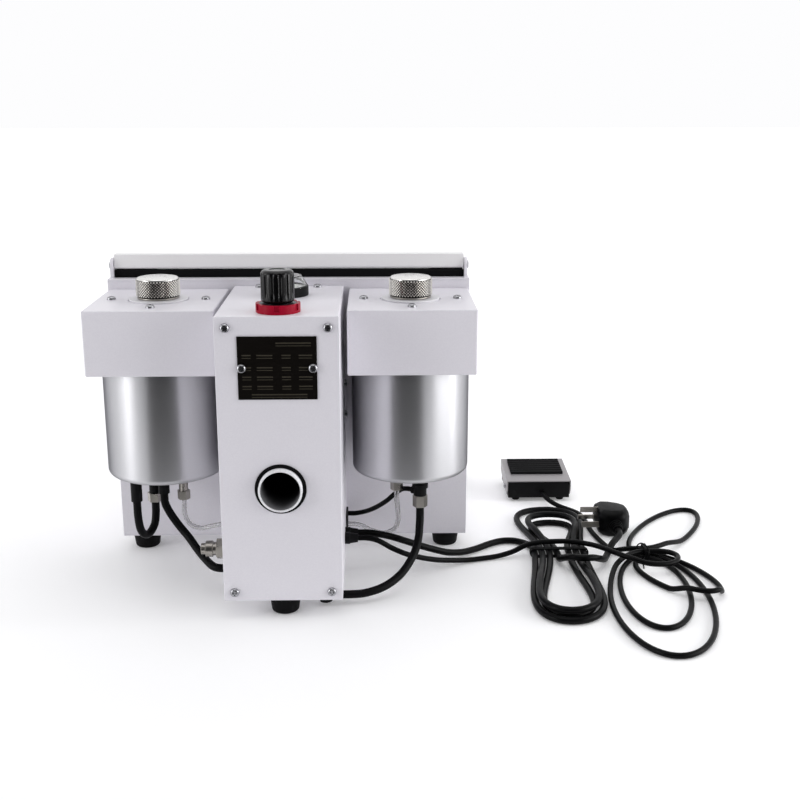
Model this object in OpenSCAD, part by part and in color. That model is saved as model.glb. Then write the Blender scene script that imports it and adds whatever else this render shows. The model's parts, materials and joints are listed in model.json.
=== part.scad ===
// Benchtop sandblaster with two abrasive tanks on its rear column, a window lid over
// the blast cabinet, a foot pedal and two cords. Millimetres, Z up. The origin is the
// middle of the column's foot on the bench, X runs to the right seen from the rear,
// and Y runs from the rear column to the user's side.

/* [Cabinet] */
// Width of the blast cabinet
cabinet_w = 364; // [350:2:400]
// Depth of the blast cabinet behind the column
cabinet_d = 240; // [220:2:280]
// Height of the rear rim above the bench
rim_h = 293; // [290:1:310]
// Height of the front rim above the bench
rim_front_h = 155; // [145:1:170]
// Depth of the flat ledge at the rear of the rim
ledge_d = 26; // [24:1:34]
// Width of the rim round the cabinet's mouth
rim_w = 26; // [22:1:36]
// Thickness of the sheet steel
sheet = 1.5; // [1:0.1:2]
// Height of the rubber feet
foot_h = 18; // [16:1:22]
// Diameter of the rubber feet at the top
foot_d = 30; // [24:1:34]
// Height of the perforated blast grid above the base pan
grid_rise = 14; // [8:1:16]
// Diameter of the grid's holes
grid_hole_d = 16; // [8:1:20]
// Distance between the grid's holes
grid_pitch = 28; // [24:1:40]

/* [Front panel] */
// Diameter of the arm ports
port_d = 96; // [80:1:100]
// Distance of each arm port from the middle
port_x = 98; // [88:1:108]
// Height of the arm ports above the bench
port_z = 84; // [78:1:90]
// Opening left by the arm cuffs
cuff_hole_d = 62; // [50:1:70]
// Distance of each rocker switch from the middle
switch_x = 17; // [15:0.5:22]
// Height of the rocker switches above the bench
switch_z = 112; // [100:1:124]
// Tilt of a rocker at rest
rocker_tilt = 8; // [4:0.5:9]

/* [Lid] */
// Width of the window lid
lid_w = 353; // [340:1:354]
// Height of the lid's edge
lid_h = 15; // [13:0.5:22]
// Thickness of the lid's rim
lid_wall = 4; // [4:0.1:6]
// Thickness of the lid's top skin
lid_skin = 2; // [1.5:0.1:3]
// Height of the rim gasket
gasket_h = 8; // [6:0.5:10]
// Distance of the lid's rear face from the rear panel
lid_setback = 10; // [8:0.5:12]
// Distance of the lid's front face behind the front panel
lid_front_setback = 2; // [1:0.5:4]
// Distance of the window from the lid's sides
window_margin = 34; // [28:1:50]
// Thickness of the window glass
glass_t = 4; // [3:0.5:6]
// Diameter of the hinge pins
hinge_pin_d = 4; // [3:0.1:4.4]
// Length of the lid's handle
handle_w = 110; // [80:1:140]

/* [Column] */
// Width of the rear column
column_w = 110; // [104:1:120]
// Depth of the rear column
column_d = 166; // [160:1:180]
// Height of the column's top above the bench
column_h = 286; // [282:1:290]
// Distance of the column's rear face from the foot's middle
column_front = 20; // [18:1:24]
// Width of the blank nameplate
plate_w = 70; // [50:1:76]
// Height of the blank nameplate
plate_h = 57; // [40:1:60]
// Height of the nameplate's middle above the bench
plate_z = 240; // [230:1:240]
// Outside diameter of the dust pipe
pipe_d = 40; // [36:0.5:42]
// Wall of the dust pipe
pipe_wall = 2; // [1.5:0.1:3]
// Height of the dust pipe above the bench
pipe_z = 127.5; // [122:0.5:130]
// Length of dust pipe that stands out of the column
pipe_out = 7.5; // [5:0.5:20]
// Bore of the air inlet for its hose
inlet_bore_d = 8; // [6:0.1:8.4]

/* [Regulator and gauge] */
// Distance of the regulator from the foot's middle
regulator_y = 5.5; // [5:0.5:10]
// Diameter of the regulator's panel ring
ring_d = 40; // [37:0.5:44]
// Height of the regulator's panel ring
ring_h = 8; // [6:0.5:12]
// Diameter of the regulator's knob
knob_d = 30; // [26:0.5:32]
// Height of the regulator's knob
knob_h = 29; // [24:0.5:32]
// Diameter of the regulator's spindle
spindle_d = 9; // [7:0.1:10]
// Distance the knob pulls up to unlock
knob_lift = 3; // [2:0.5:3]
// Distance of the gauge from the foot's middle
gauge_y = 92; // [84:1:96]
// Diameter of the gauge
gauge_d = 45; // [40:0.5:50]

/* [Tanks] */
// Diameter of the abrasive tanks
tank_d = 114; // [108:1:116]
// Height of a tank's bottom above the bench
tank_z = 113; // [112:1:125]
// Wall of the tanks
tank_wall = 2.2; // [1.6:0.1:3]
// Height of the hoods' tops above the bench
hood_z = 283; // [278:1:287]
// Depth of the hoods' aprons
apron_h = 61.5; // [40:0.5:80]
// Diameter of the tank necks
neck_d = 56; // [48:0.5:58]
// Diameter of the tank mouths
mouth_d = 34; // [30:0.5:36]
// Diameter of the cap knobs
cap_d = 41; // [38:0.5:46]
// Height of the cap knobs
cap_h = 18; // [16:0.5:24]
// Diameter of the cap stems
cap_stem_d = 16; // [12:0.5:20]
// Circle of the hood screws
hood_screw_circle = 90; // [84:1:94]

/* [Pedal] */
// Width of the pedal's base
pedal_w = 73; // [70:1:80]
// Depth of the pedal's base
pedal_d = 71; // [71:1:80]
// Height of the pedal's base at its cord end
pedal_h = 24; // [24:0.5:30]
// Height of the pedal's feet
pedal_foot_h = 5; // [4:0.5:6]
// Diameter of the pedal's hinge pin
pedal_pin_d = 5; // [4:0.1:6]
// Width of the ribbed tread
tread_w = 63; // [50:1:66]
// Depth of the ribbed tread
tread_d = 45; // [35:1:46]

/* [Cords] */
// Diameter of the mains cord
mains_d = 7; // [6:0.1:7]
// Diameter of the pedal cord
pedal_cord_d = 5.5; // [5:0.1:5.5]
// Diameter of the black hoses
hose_d = 8; // [6:0.5:8]
// Diameter of the thin black hose and the clear hoses
thin_hose_d = 5; // [4:0.5:5]

/* [Node] */
// Which sub-part to draw

/* [Hidden] */
$fn = 48;

// Clearances
run_fit = 0.05;
slip_fit = 0.2;
seat_gap = 0.3;
through = 1;

// Cabinet lines
rear_y = column_d - column_front;
front_y = rear_y + cabinet_d;
half_w = cabinet_w / 2;
ledge_y = rear_y + ledge_d;
slope = (rim_h - rim_front_h) / (cabinet_d - ledge_d);
pan_z = foot_h + sheet;
rim_t = 2;
foot_inset = 21;
foot_taper = 4;

// Lid lines
lid_gap = gasket_h + 0.5;
lid_x = lid_w / 2;
lid_y0 = rear_y + lid_setback;
lid_y1 = front_y - lid_front_setback;
pivot_r = 3.5;
pivot_y = lid_y0 + pivot_r;
pivot_z = rim_h + lid_gap + pivot_r;
ear_t = 3;
ear_r = 8;
gasket_w = 7;
gasket_y1 = lid_y1;
window_x = lid_x - window_margin;
window_y0 = ledge_y + 22;
window_y1 = front_y - 30;
glass_lap = 10;
handle_rod_d = 9;
handle_out = 26;

// Switch lines
frame_w = 19;
frame_h = 26;
frame_face = 2.5;
frame_depth = 16;
frame_wall = 2.3;
rocker_half = 8.6;
rocker_side_gap = 0.5;
trunnion_d = 3;
rocker_y = front_y - 4;

// Column lines
cover_y = sheet - column_front;
post = 14;
cover_screw_x = column_w / 2 - 10;
cover_screw_z = [foot_h + 8.5, column_h - 10];
screw_d = 7;
screw_rise = 2.4;
shank_d = 3.5;
screw_hole_d = shank_d + 2 * slip_fit;
plate_t = 1;
plate_screw_x = plate_w / 2 - 3.5;
grommet_lip_d = pipe_d + 7.3;
grommet_hole_d = pipe_d + 4;
grommet_lip = 1.2;
top_screw_x = 29;
top_screw_y = rear_y - 9;
side_screw_y = rear_y - 31;
supply_size = [44, 44, 70];
supply_gap = 4.5;
supply_z = pipe_z + pipe_d / 2 + supply_gap;
supply_screws = [8, 40];
side_screw_z = [supply_z + supply_screws[0], supply_z + supply_screws[1]];
valve_size = [26, 46, 24];
valve_x = 10;
valve_y = rear_y - 12 - valve_size[1];

// Regulator lines
neck_thread_d = 33;
knob_z = column_h + ring_h + 2 * seat_gap;
knob_bore_depth = knob_h - 3.5;
spindle_top = knob_z + knob_bore_depth - knob_lift - 1;
gauge_rise = 9;
gauge_body_d = gauge_d - 7;
gauge_top = column_h + gauge_rise;
dial_z = gauge_top - 1.5;
axle_d = 2;
lens_h = 10;

// Tank lines
hood_gap = 5.5;
hood_w = tank_d + 6;
hood_d = tank_d + 7;
hood_y0 = rear_y - hood_d;
tank_x = column_w / 2 + hood_gap + hood_w / 2;
tank_y = (hood_y0 + sheet + rear_y) / 2;
neck_hole_d = neck_d + 2;
head_t = 8.5;
head_z = hood_z - sheet - head_t;
neck_top = hood_z + 1.5;
tank_fillet = 6;
spigot_h = 10;
cap_plug_h = 9.5;
cap_flange_h = 1.6;
cap_stem_h = cap_h - 5;
cap_z = neck_top + seat_gap + cap_flange_h + 0.1;

// Hose fittings under the tanks: distance right of the tank's middle, distance in
// front of it, and height of the lower end above the bench
loop_start = [-29.5, -14, 84];
loop_end = [-16.5, 12, 84];
loop_nut_z = 75;
feed_stub = [-4.5, -2, 88];
left_clear_stub = [15, -2, 82];
right_clear_stub = [-13.5, -2, 90];
tee_stub = [10, -2, 84];
tee_nut_z = 72;
tee_flange_d = 16;
tee_flange_z = 92;
clear_hex = 11;
stub_d = 11;
fitting_hex = 13;
tee_side_z = 88;
tee_side_x = 9;
tee_side_turn = 30;

// Column fittings
inlet_y = 30;
inlet_z = 50;
gland_z = 43;
mains_gland_y = 86;
pedal_gland_y = 72;
gland_d = 12;
gland_l = 13;
slot_y = 128;
slot_z = 41;
slot_size = [2, 26, 20];
foot_elbow = [38, 10];
foot_elbow_d = 12;
foot_elbow_reach = 9;
under_hose_z = 10;

// Pedal lines
pedal_x = 281;
pedal_y = 292;
pedal_wall = 2.5;
cover_t = 1.2;
cover_gap = 0.5;
pedal_top = pedal_foot_h + pedal_h - 4.4;
pedal_slope = 5 / 71;
pedal_pivot_y = pedal_y + 15;
pedal_pivot_z = 15;
tread_t = 3;
rib_n = 7;
pedal_press = 8;
spring_d = 12;
spring_wire = 1.4;
spring_turns = 5;
spring_y = pedal_y + 56;
pedal_exit = [285, pedal_y, 12];

// Plug lines
plug_x = 331;
plug_y = 172;
plug_size = [36, 43, 30];
plug_z = 0;
plug_relief_l = 12;
plug_exit = [349, plug_y - plug_relief_l, 14];
blade = [18, 1.6, 6.3];

// Cord lines: route points chosen by hand
mains_r = mains_d / 2;
pedal_r = pedal_cord_d / 2;
gland_end = column_w / 2 + gland_l;
hank_at = [281, 122];
hank_turns = 3;
hank_inner = 4.2;
hank_step = 7.9;
hank_front_len = [150, 155, 161];
hank_front_wide = [56, 62, 68];
hank_back_len = [90, 96, 132];
hank_back_wide = [54, 58, 77];
hank_lean = [-13, 0];
hank_pile = 7.7;
tie_t = 1.2;
tie_lift = tie_t + seat_gap;
stub_l = 7;
hank_out_x = hank_at[0] - hank_inner - hank_step * hank_turns;
hank_in_x = hank_at[0] - hank_inner;
hank_z = mains_r + tie_lift;

mains_lead_route = [
    [gland_end, mains_gland_y, gland_z], [gland_end + 8, mains_gland_y, gland_z],
    [88, 86, 41.5], [101, 89, 37.5], [117, 92, 31],
    [133, 97, 23.5], [149, 104, 16], [162, 112, 10], [178, 124, 5.5], [194, 138, 3.7],
    [208, 150, 3.7], [221, 158, 3.7], [234, 159, 3.7], [244, 153, 3.8],
    [250.5, 143, 4.4], [hank_out_x, 135, hank_z], [hank_out_x, hank_at[1] + stub_l, hank_z]
];
mains_tail_route = [
    [hank_in_x, hank_at[1] - stub_l, hank_z], [hank_in_x, 108, hank_z], [276.9, 102, 6.2],
    [277.6, 96, 8.9], [280.5, 88.5, 13], [286.5, 81.5, 16.3], [297, 77, 17.2],
    [308, 80, 16], [316, 88, 11.5], [322, 98, 6.8],
    [326, 108, 5], [331, 119, 7.5], [337, 130, 11.4], [342, 138, 12.4], [347, 146, 13.6],
    [plug_exit[0], plug_exit[1] - 7, plug_exit[2]], plug_exit
];

coil_at = [368, 114];
coil_side = 8;
coil_up = 6;
coil_lift = tie_lift;
// Each loop: half width, half length, lean, and towards the rear column or away from it
coil_loops = [
    [48, 110, -9, -1], [33, 82, -9, -1], [29, 52, 21, -1], [31, 66, 38.5, 1]
];
// Where each pass lies in the tie: sideways and upwards
coil_passes = [
    [-coil_side / 2, coil_up], [0, 0], [-coil_side, 0], [coil_side, 0],
    [coil_side / 2, coil_up]
];
// Angles over which each loop comes down from the tie and climbs back to it
coil_down = [[44, 82], [4, 44], [4, 44], [4, 44]];
coil_climb = [[4, 44], [4, 44], [4, 44], [34, 70]];
cross_rise = [0, 0, 7, 0];
cross_from = [118, 146];
cross_to = [194, 224];
coil_z = pedal_r + coil_lift;

pedal_lead_route = [
    [gland_end, pedal_gland_y, gland_z], [gland_end + 7, pedal_gland_y, gland_z],
    [87, 72, 40.5], [102, 74, 31], [117, 77, 23],
    [132, 82, 17], [148, 89, 11.5], [164, 98, 7], [180, 106, 3.8], [197, 112, 3],
    [214, 117, 3.4], [230, 121, 6.6], [244, 124, 12.4], [257, 126, 14.6], [272, 128, 14.8],
    [288, 128, 14.8], [302, 124, 14.8], [314, 115, 15.6], [324, 102, 16.6],
    [334, 88, 17], [346, 78, 16], [361, 72, 13], [377, 72.6, 11.4],
    [389, 77.5, 11], [396, 87, 11], [397, 97, 11], [391.5, 106, 10.6],
    [coil_at[0] + 2 * stub_l, coil_at[1] - coil_side / 2, coil_z + coil_up],
    [coil_at[0] + stub_l, coil_at[1] - coil_side / 2, coil_z + coil_up]
];
pedal_tail_route = [
    [coil_at[0] - stub_l, coil_at[1] + coil_side / 2, coil_z + coil_up],
    [coil_at[0] - 2 * stub_l, coil_at[1] + coil_side / 2, coil_z + coil_up],
    [346, 120.4, 8.4], [339, 127, 4.6], [335, 137, 3], [331, 151, 3],
    [327.5, 168, 3], [325, 186, 3], [324, 205, 3], [323.8, 217, 3], [322.8, 231, 3],
    [319.5, 243.5, 3], [313, 253.5, 3], [305, 261, 3.6], [297, 267, 5.6], [290.2, 272.8, 8.6],
    [286.2, 279.2, 11.2],
    [pedal_exit[0], pedal_exit[1] - 6, pedal_exit[2]], pedal_exit
];

// Hose routes chosen by hand between their fittings
function left_at(stub) = [stub[0] - tank_x, tank_y + stub[1], stub[2]];
function right_at(stub) = [stub[0] + tank_x, tank_y + stub[1], stub[2]];
loop_route = [
    left_at(loop_start), left_at(loop_start) - [0, 0, 12], [-149.5, 72.5, 62], [-148.5, 74.5, 53],
    [-146.5, 79, 46.5], [-143.5, 85, 44], [-140.5, 91, 46.5], [-138, 96, 53],
    [-tank_x + loop_end[0], tank_y + loop_end[1], loop_nut_z - 10],
    [-tank_x + loop_end[0], tank_y + loop_end[1], loop_nut_z]
];
feed_route = [
    left_at(feed_stub), left_at(feed_stub) - [0, 0, 9], [-121, 83, 69], [-112, 80, 56],
    [-101, 73, 45], [-91, 60, 37.5], [-82, 47, 33], [-74.5, 36, 30.8], [-69, 30.6, 30.2],
    [-column_w / 2 - 8, 29, 30], [-column_w / 2, 29, 30]
];
left_clear_route = [
    left_at(left_clear_stub), left_at(left_clear_stub) - [0, 0, 8], [-105, 84, 64], [-100, 83, 55],
    [-89, 80, 52], [-76, 76, 56], [-column_w / 2 - 6, 72, 60], [-column_w / 2, 72, 60]
];
right_clear_route = [
    right_at(right_clear_stub), right_at(right_clear_stub) - [0, 0, 10], [108.4, 84.8, 66], [108.5, 87, 56],
    [105.5, 92, 45.5], [97.5, 99, 38], [88.5, 105, 36], [79.5, 111, 37], [72, 116.5, 39],
    [column_w / 2 + 9, 119.5, 40],
    [column_w / 2 + slot_size[0], 119.5, 40]
];
function tee_side(reach) = right_at([
    tee_stub[0] - reach * cos(tee_side_turn), tee_stub[1] + reach * sin(tee_side_turn), tee_side_z
]);
thin_route = [
    tee_side(tee_side_x), tee_side(tee_side_x + thin_hose_d),
    [112.5, 94.5, 86.4], [105.5, 97.6, 80.5], [97.5, 102.5, 71.5], [88.5, 112, 62], [80, 122.5, 54],
    [72.5, 130, 49], [column_w / 2 + 9, 133, 46.5], [column_w / 2 + slot_size[0], 133, 46.5]
];
thick_route = [
    right_at([tee_stub[0], tee_stub[1], tee_nut_z]), right_at([tee_stub[0], tee_stub[1], tee_nut_z - 9]),
    [130, 80, 53], [128, 70, 40], [122, 55, 29], [110, 36, 19], [94, 21, 13], [76, 12, 10.5],
    [60, 10, under_hose_z], [foot_elbow[0] + foot_elbow_reach, foot_elbow[1], under_hose_z]
];
// A pen hose on the right; the left one mirrors it
pen_x = 128;
pen_y = rear_y + sheet + 14;
pen_z = rim_h - 143;
pen_socket_z = pen_z + 50;
pen_socket_h = 12;
pen_socket_w = 24;
pen_socket_d = 11;
pen_tip_r = 1.8;
pen_tip_l = 22;
pen_cone_l = 6;
pen_nose_l = 36;
pen_rib = 1.6;
pen_rib_l = 14;
pen_d = 14;
pen_l = 92;
pen_hose_route = [
    [pen_x, pen_y, pen_z + pen_l], [pen_x, pen_y, pen_z + pen_l + 8], [pen_x - 3, pen_y + 2, pen_z + 112],
    [pen_x - 12, pen_y + 4, pen_z + 121], [pen_x - 24, pen_y + 5, pen_z + 116],
    [pen_x - 30, pen_y + 5, pen_z + 100], [pen_x - 32, pen_y + 4, pen_z + 75],
    [pen_x - 33, pen_y + 3, pen_z + 45], [pen_x - 34, pen_y + 3, pen_z + 15],
    [pen_x - 36, pen_y + 2, pen_z - 15], [pen_x - 38, pen_y + 1, pen_z - 40],
    [pen_x - 39, pen_y - 3, pen_z - 52],
    [pen_x - 39, pen_y - 8, pen_z - 56], [pen_x - 39, rear_y + sheet, pen_z - 56]
];

// Curves and tubes
function unit(v) = v / norm(v);
function ease(t) = let (c = max(0, min(1, t))) c * c * (3 - 2 * c);
function at(p, i) = p[max(0, min(len(p) - 1, i))];
function between(a, b, c, d, t) =
    0.5 * (2 * b + (c - a) * t + (2 * a - 5 * b + 4 * c - d) * t * t + (3 * b - a - 3 * c + d) * t * t * t);
function step_along(p, i, t) =
    i == 0 || i == len(p) - 2
        ? p[i] + (p[i + 1] - p[i]) * t
        : between(p[i - 1], p[i], p[i + 1], p[i + 2], t);
// A smooth line through the points, straight in its first and last steps
function curve(p, n) = concat(
    [for (i = [0:len(p) - 2]) for (k = [0:n - 1]) step_along(p, i, k / n)],
    [p[len(p) - 1]]
);
function headings(p) = [for (i = [0:len(p) - 1]) unit(at(p, i + 1) - at(p, i - 1))];
function upright(n, t) = unit(n - (n * t) * t);
function flank(t) = abs(t[2]) < 0.9 ? upright([0, 0, 1], t) : upright([1, 0, 0], t);
function flanks(t) = [
    for (i = 0, n = flank(t[0]); i < len(t); i = i + 1, n = upright(n, at(t, i))) n
];
function length_of(p, i = 0) = i >= len(p) - 1 ? 0 : norm(p[i + 1] - p[i]) + length_of(p, i + 1);
function finer(p) = [for (i = [0:len(p) - 2]) for (k = [0, 0.5]) p[i] + (p[i + 1] - p[i]) * k];
function least_gap(p, d, skip) = min([
    for (i = [0:len(p) - 1 - skip]) min([for (j = [i + skip:len(p) - 1]) norm(p[i] - p[j])])
]) - d;

module tube(p, d, sides) {
    t = headings(p);
    n = flanks(t);
    rings = [
        for (i = [0:len(p) - 1]) for (j = [0:sides - 1])
            let (turn = 360 * j / sides)
            p[i] + d / 2 * (cos(turn) * n[i] + sin(turn) * cross(t[i], n[i]))
    ];
    walls = [
        for (i = [0:len(p) - 2]) for (j = [0:sides - 1])
            let (k = (j + 1) % sides)
            [i * sides + j, (i + 1) * sides + j, (i + 1) * sides + k, i * sides + k]
    ];
    first = [for (j = [0:sides - 1]) j];
    last = [for (j = [sides - 1:-1:0]) (len(p) - 1) * sides + j];
    polyhedron(points = rings, faces = concat(walls, [first, last]), convexity = 8);
}

// The mains hank: turns drawn in at the tie, with the middle turn lying on its neighbours
function hank_point(turn, back, phi) =
    let (u = turn + (back ? 0 : 0.5) + phi / 360)
    let (waist = hank_inner + hank_step * u)
    let (wide = back ? hank_back_wide[turn] : hank_front_wide[turn])
    let (long = back ? hank_back_len[turn] : hank_front_len[turn])
    let (side = back ? -1 : 1)
    let (out = (waist + (wide - waist) * sin(phi) * sin(phi)) * cos(phi))
    let (pile = turn == 1 ? hank_pile * min(1, 2 * sin(phi)) : 0)
    [
        hank_at[0] + side * out + hank_lean[back ? 1 : 0] * sin(phi),
        hank_at[1] - side * long * sin(phi),
        mains_r + 0.2 + pile + (tie_lift - 0.2) * pow(cos(phi), 8)
    ];
hank_steps = 24;
hank_path = concat(
    [[hank_in_x, hank_at[1] - stub_l, hank_z]],
    [
        for (turn = [0:hank_turns - 1]) for (back = [true, false]) for (i = [0:hank_steps - 1])
            hank_point(turn, back, 180 * i / hank_steps)
    ],
    [[hank_out_x, hank_at[1], hank_z], [hank_out_x, hank_at[1] + stub_l, hank_z]]
);

// The pedal cord's loops through their tie
function coil_point(k, a) =
    let (loop = coil_loops[k])
    let (from = coil_passes[k])
    let (to = coil_passes[k + 1])
    let (low = 1 - ease((a - coil_down[k][0]) / (coil_down[k][1] - coil_down[k][0])))
    let (high = 1 - ease((360 - a - coil_climb[k][0]) / (coil_climb[k][1] - coil_climb[k][0])))
    let (up = ease((a - cross_from[0]) / (cross_from[1] - cross_from[0])))
    let (down = ease((a - cross_to[0]) / (cross_to[1] - cross_to[0])))
    [
        coil_at[0] - loop[0] * sin(a) + loop[2] * (1 - cos(a)),
        coil_at[1] + from[0] + (to[0] - from[0]) * ease(a / 360) + loop[3] * loop[1] * (1 - cos(a)),
        pedal_r + 0.2 + low * (coil_lift - 0.2 + from[1]) + high * (coil_lift - 0.2 + to[1])
            + cross_rise[k] * (up - down)
    ];
coil_steps = 36;
coil_path = concat(
    [[coil_at[0] + stub_l, coil_at[1] + coil_passes[0][0], coil_z + coil_up]],
    [for (k = [0:len(coil_loops) - 1]) for (i = [0:coil_steps - 1]) coil_point(k, 360 * i / coil_steps)],
    [
        [coil_at[0], coil_at[1] + coil_side / 2, coil_z + coil_up],
        [coil_at[0] - stub_l, coil_at[1] + coil_side / 2, coil_z + coil_up]
    ]
);
mains_lead_path = curve(mains_lead_route, 2);
mains_tail_path = curve(mains_tail_route, 2);
pedal_lead_path = curve(pedal_lead_route, 2);
pedal_tail_path = curve(pedal_tail_route, 2);
echo(mains_hank_gap = least_gap(finer(hank_path), mains_d, 8));
echo(pedal_coil_gap = least_gap(finer(coil_path), pedal_cord_d, 8));
echo(mains_length = length_of(mains_lead_path) + length_of(hank_path) + length_of(mains_tail_path));
echo(pedal_length = length_of(pedal_lead_path) + length_of(coil_path) + length_of(pedal_tail_path));

// Plain shapes
module block(low, high) {
    translate(low)
        cube(high - low);
}

module across(x0, x1) {
    translate([x0, 0, 0])
        rotate([90, 0, 90])
        linear_extrude(x1 - x0)
        children();
}

module rod_x(d, x0, x1, y, z) {
    translate([x0, y, z])
        rotate([0, 90, 0])
        cylinder(d = d, h = x1 - x0);
}

module rod_y(d, y0, y1, x, z) {
    translate([x, y0, z])
        rotate([-90, 0, 0])
        cylinder(d = d, h = y1 - y0);
}

module rod_z(d, z0, z1, x, y) {
    translate([x, y, z0])
        cylinder(d = d, h = z1 - z0);
}

module both_sides() {
    children();
    mirror([1, 0, 0])
        children();
}

module button_screw(length) {
    cylinder(d = screw_d, h = screw_rise / 2);
    translate([0, 0, screw_rise / 2])
        cylinder(d1 = screw_d, d2 = screw_d * 0.6, h = screw_rise / 2);
    translate([0, 0, -length])
        cylinder(d = shank_d, h = length);
}

// The rim's line and bands that follow it
function rim_z(y) = rim_h - max(0, y - ledge_y) * slope;
function band(y0, y1, low, high) =
    let (bend = y0 < ledge_y && y1 > ledge_y ? [ledge_y] : [])
    let (ys = concat([y0], bend, [y1]))
    concat(
        [for (i = [0:len(ys) - 1]) [ys[i], rim_z(ys[i]) + high]],
        [for (i = [len(ys) - 1:-1:0]) [ys[i], rim_z(ys[i]) + low]]
    );

// Cabinet
module base_pan() {
    color("gainsboro")
        block([-half_w, rear_y, foot_h], [half_w, front_y, pan_z]);
}

module rear_panel() {
    color("gainsboro")
        difference() {
            union() {
                block([-half_w, rear_y, pan_z], [half_w, rear_y + sheet, rim_h - rim_t]);
                both_sides()
                    block(
                        [pen_x - pen_socket_w / 2, rear_y + sheet, pen_socket_z],
                        [pen_x + pen_socket_w / 2, pen_y + pen_socket_d, pen_socket_z + pen_socket_h]
                    );
            }
            rod_y(pipe_d + 2 * slip_fit, rear_y - through, rear_y + sheet + through, 0, pipe_z);
            both_sides()
                rod_z(
                    pen_d + 2 * slip_fit, pen_socket_z - through, pen_socket_z + pen_socket_h + through,
                    pen_x, pen_y
                );
        }
}

module side_panels() {
    y0 = rear_y + sheet;
    y1 = front_y - sheet;
    color("gainsboro")
        both_sides()
        across(half_w - sheet, half_w)
        polygon([
            [y0, pan_z], [y0, rim_h - rim_t], [ledge_y, rim_h - rim_t],
            [y1, rim_z(y1) - rim_t], [y1, pan_z]
        ]);
}

module front_panel() {
    color("gainsboro")
        difference() {
            across(-half_w, half_w)
                polygon([
                    [front_y - sheet, pan_z], [front_y, pan_z],
                    [front_y, rim_z(front_y) - rim_t],
                    [front_y - sheet, rim_z(front_y - sheet) - rim_t]
                ]);
            both_sides()
                rod_y(port_d, front_y - sheet - through, front_y + through, port_x, port_z);
            for (x = [-switch_x, switch_x])
                block(
                    [x - frame_w / 2 + 1.5, front_y - sheet - through, switch_z - frame_h / 2 + 2],
                    [x + frame_w / 2 - 1.5, front_y + through, switch_z + frame_h / 2 - 2]
                );
        }
}

module rim_frame() {
    color("gainsboro") {
        difference() {
            across(-half_w, half_w)
                polygon(band(rear_y, front_y, -rim_t, 0));
            block([rim_w - half_w, ledge_y, 0], [half_w - rim_w, front_y - 20, rim_h + through]);
        }
        both_sides()
            difference() {
                across(lid_x + 0.5, lid_x + 0.5 + ear_t)
                    union() {
                        translate([pivot_y - ear_r, rim_h])
                            square([2 * ear_r, pivot_z - rim_h]);
                        translate([pivot_y, pivot_z])
                            circle(ear_r);
                    }
                rod_x(hinge_pin_d + 2 * run_fit, lid_x, lid_x + ear_t + through, pivot_y, pivot_z);
            }
    }
}

module rim_gasket() {
    color("dimgray")
        difference() {
            across(-lid_x, lid_x)
                polygon(band(lid_y0, gasket_y1, 0, gasket_h));
            block(
                [gasket_w - lid_x, lid_y0 + gasket_w, 0],
                [lid_x - gasket_w, gasket_y1 - gasket_w, rim_h + gasket_h + through]
            );
        }
}

module arm_cuffs() {
    r = port_d / 2;
    sleeve = 3;
    lip = 8;
    lip_t = 3;
    reach = 10;
    depth = sheet + reach;
    color("dimgray")
        for (x = [-port_x, port_x])
            translate([x, front_y, port_z])
            rotate([-90, 0, 0])
            rotate_extrude()
            polygon([
                [r - slip_fit, 0], [r + lip, 0], [r + lip, lip_t - 1], [r + lip - 1, lip_t],
                [r - sleeve, lip_t], [r - sleeve, 2 - depth], [cuff_hole_d / 2, 2 - depth],
                [cuff_hole_d / 2, -depth], [r - slip_fit, -depth]
            ]);
}

module blast_grid() {
    x1 = half_w - sheet - 1;
    y0 = rear_y + sheet + 1;
    y1 = front_y - sheet - 1;
    top = pan_z + grid_rise;
    nx = floor((x1 - grid_hole_d) / grid_pitch);
    ny = floor((y1 - y0 - 2 * grid_hole_d) / grid_pitch);
    mid_y = (y0 + y1) / 2;
    color("silver")
        difference() {
            block([-x1, y0, pan_z], [x1, y1, top]);
            block([sheet - x1, y0 + sheet, pan_z - through], [x1 - sheet, y1 - sheet, top - sheet]);
            for (i = [-nx:nx])
                for (j = [0:ny])
                    translate([i * grid_pitch, mid_y + (j - ny / 2) * grid_pitch, top - sheet - through])
                    cylinder(d = grid_hole_d, h = sheet + 2 * through);
        }
}

module lamp_bar() {
    lamp_z = rim_h - 14;
    lamp_x = 78;
    color("whitesmoke")
        across(-lamp_x, lamp_x)
        polygon([
            [rear_y + sheet, lamp_z], [rear_y + sheet + 12, lamp_z],
            [rear_y + sheet + 7, lamp_z - 12], [rear_y + sheet, lamp_z - 12]
        ]);
}

module blast_pens() {
    grip_z = pen_socket_z + pen_socket_h;
    color("silver")
        both_sides()
        translate([pen_x, pen_y, 0])
        rotate_extrude()
        polygon([
            [0, pen_z], [pen_tip_r, pen_z], [pen_tip_r + 0.6, pen_z + pen_tip_l],
            [pen_d / 2 - 2, pen_z + pen_tip_l + pen_cone_l],
            [pen_d / 2, pen_z + pen_nose_l], [pen_d / 2, grip_z], [pen_d / 2 + pen_rib, grip_z],
            [pen_d / 2 + pen_rib, grip_z + pen_rib_l], [pen_d / 2, grip_z + pen_rib_l + 2],
            [pen_d / 2 - 2, pen_z + pen_l], [0, pen_z + pen_l]
        ]);
}

module pen_hoses() {
    color("dimgray")
        both_sides()
        tube(curve(pen_hose_route, 2), thin_hose_d, 6);
}

module hinge_pins() {
    head = 1.6;
    outer = lid_x + 0.5 + ear_t;
    color("silver")
        both_sides() {
            rod_x(hinge_pin_d, lid_x - lid_wall - 1.5, outer, pivot_y, pivot_z);
            rod_x(hinge_pin_d + 4, outer, outer + head, pivot_y, pivot_z);
        }
}

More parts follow.
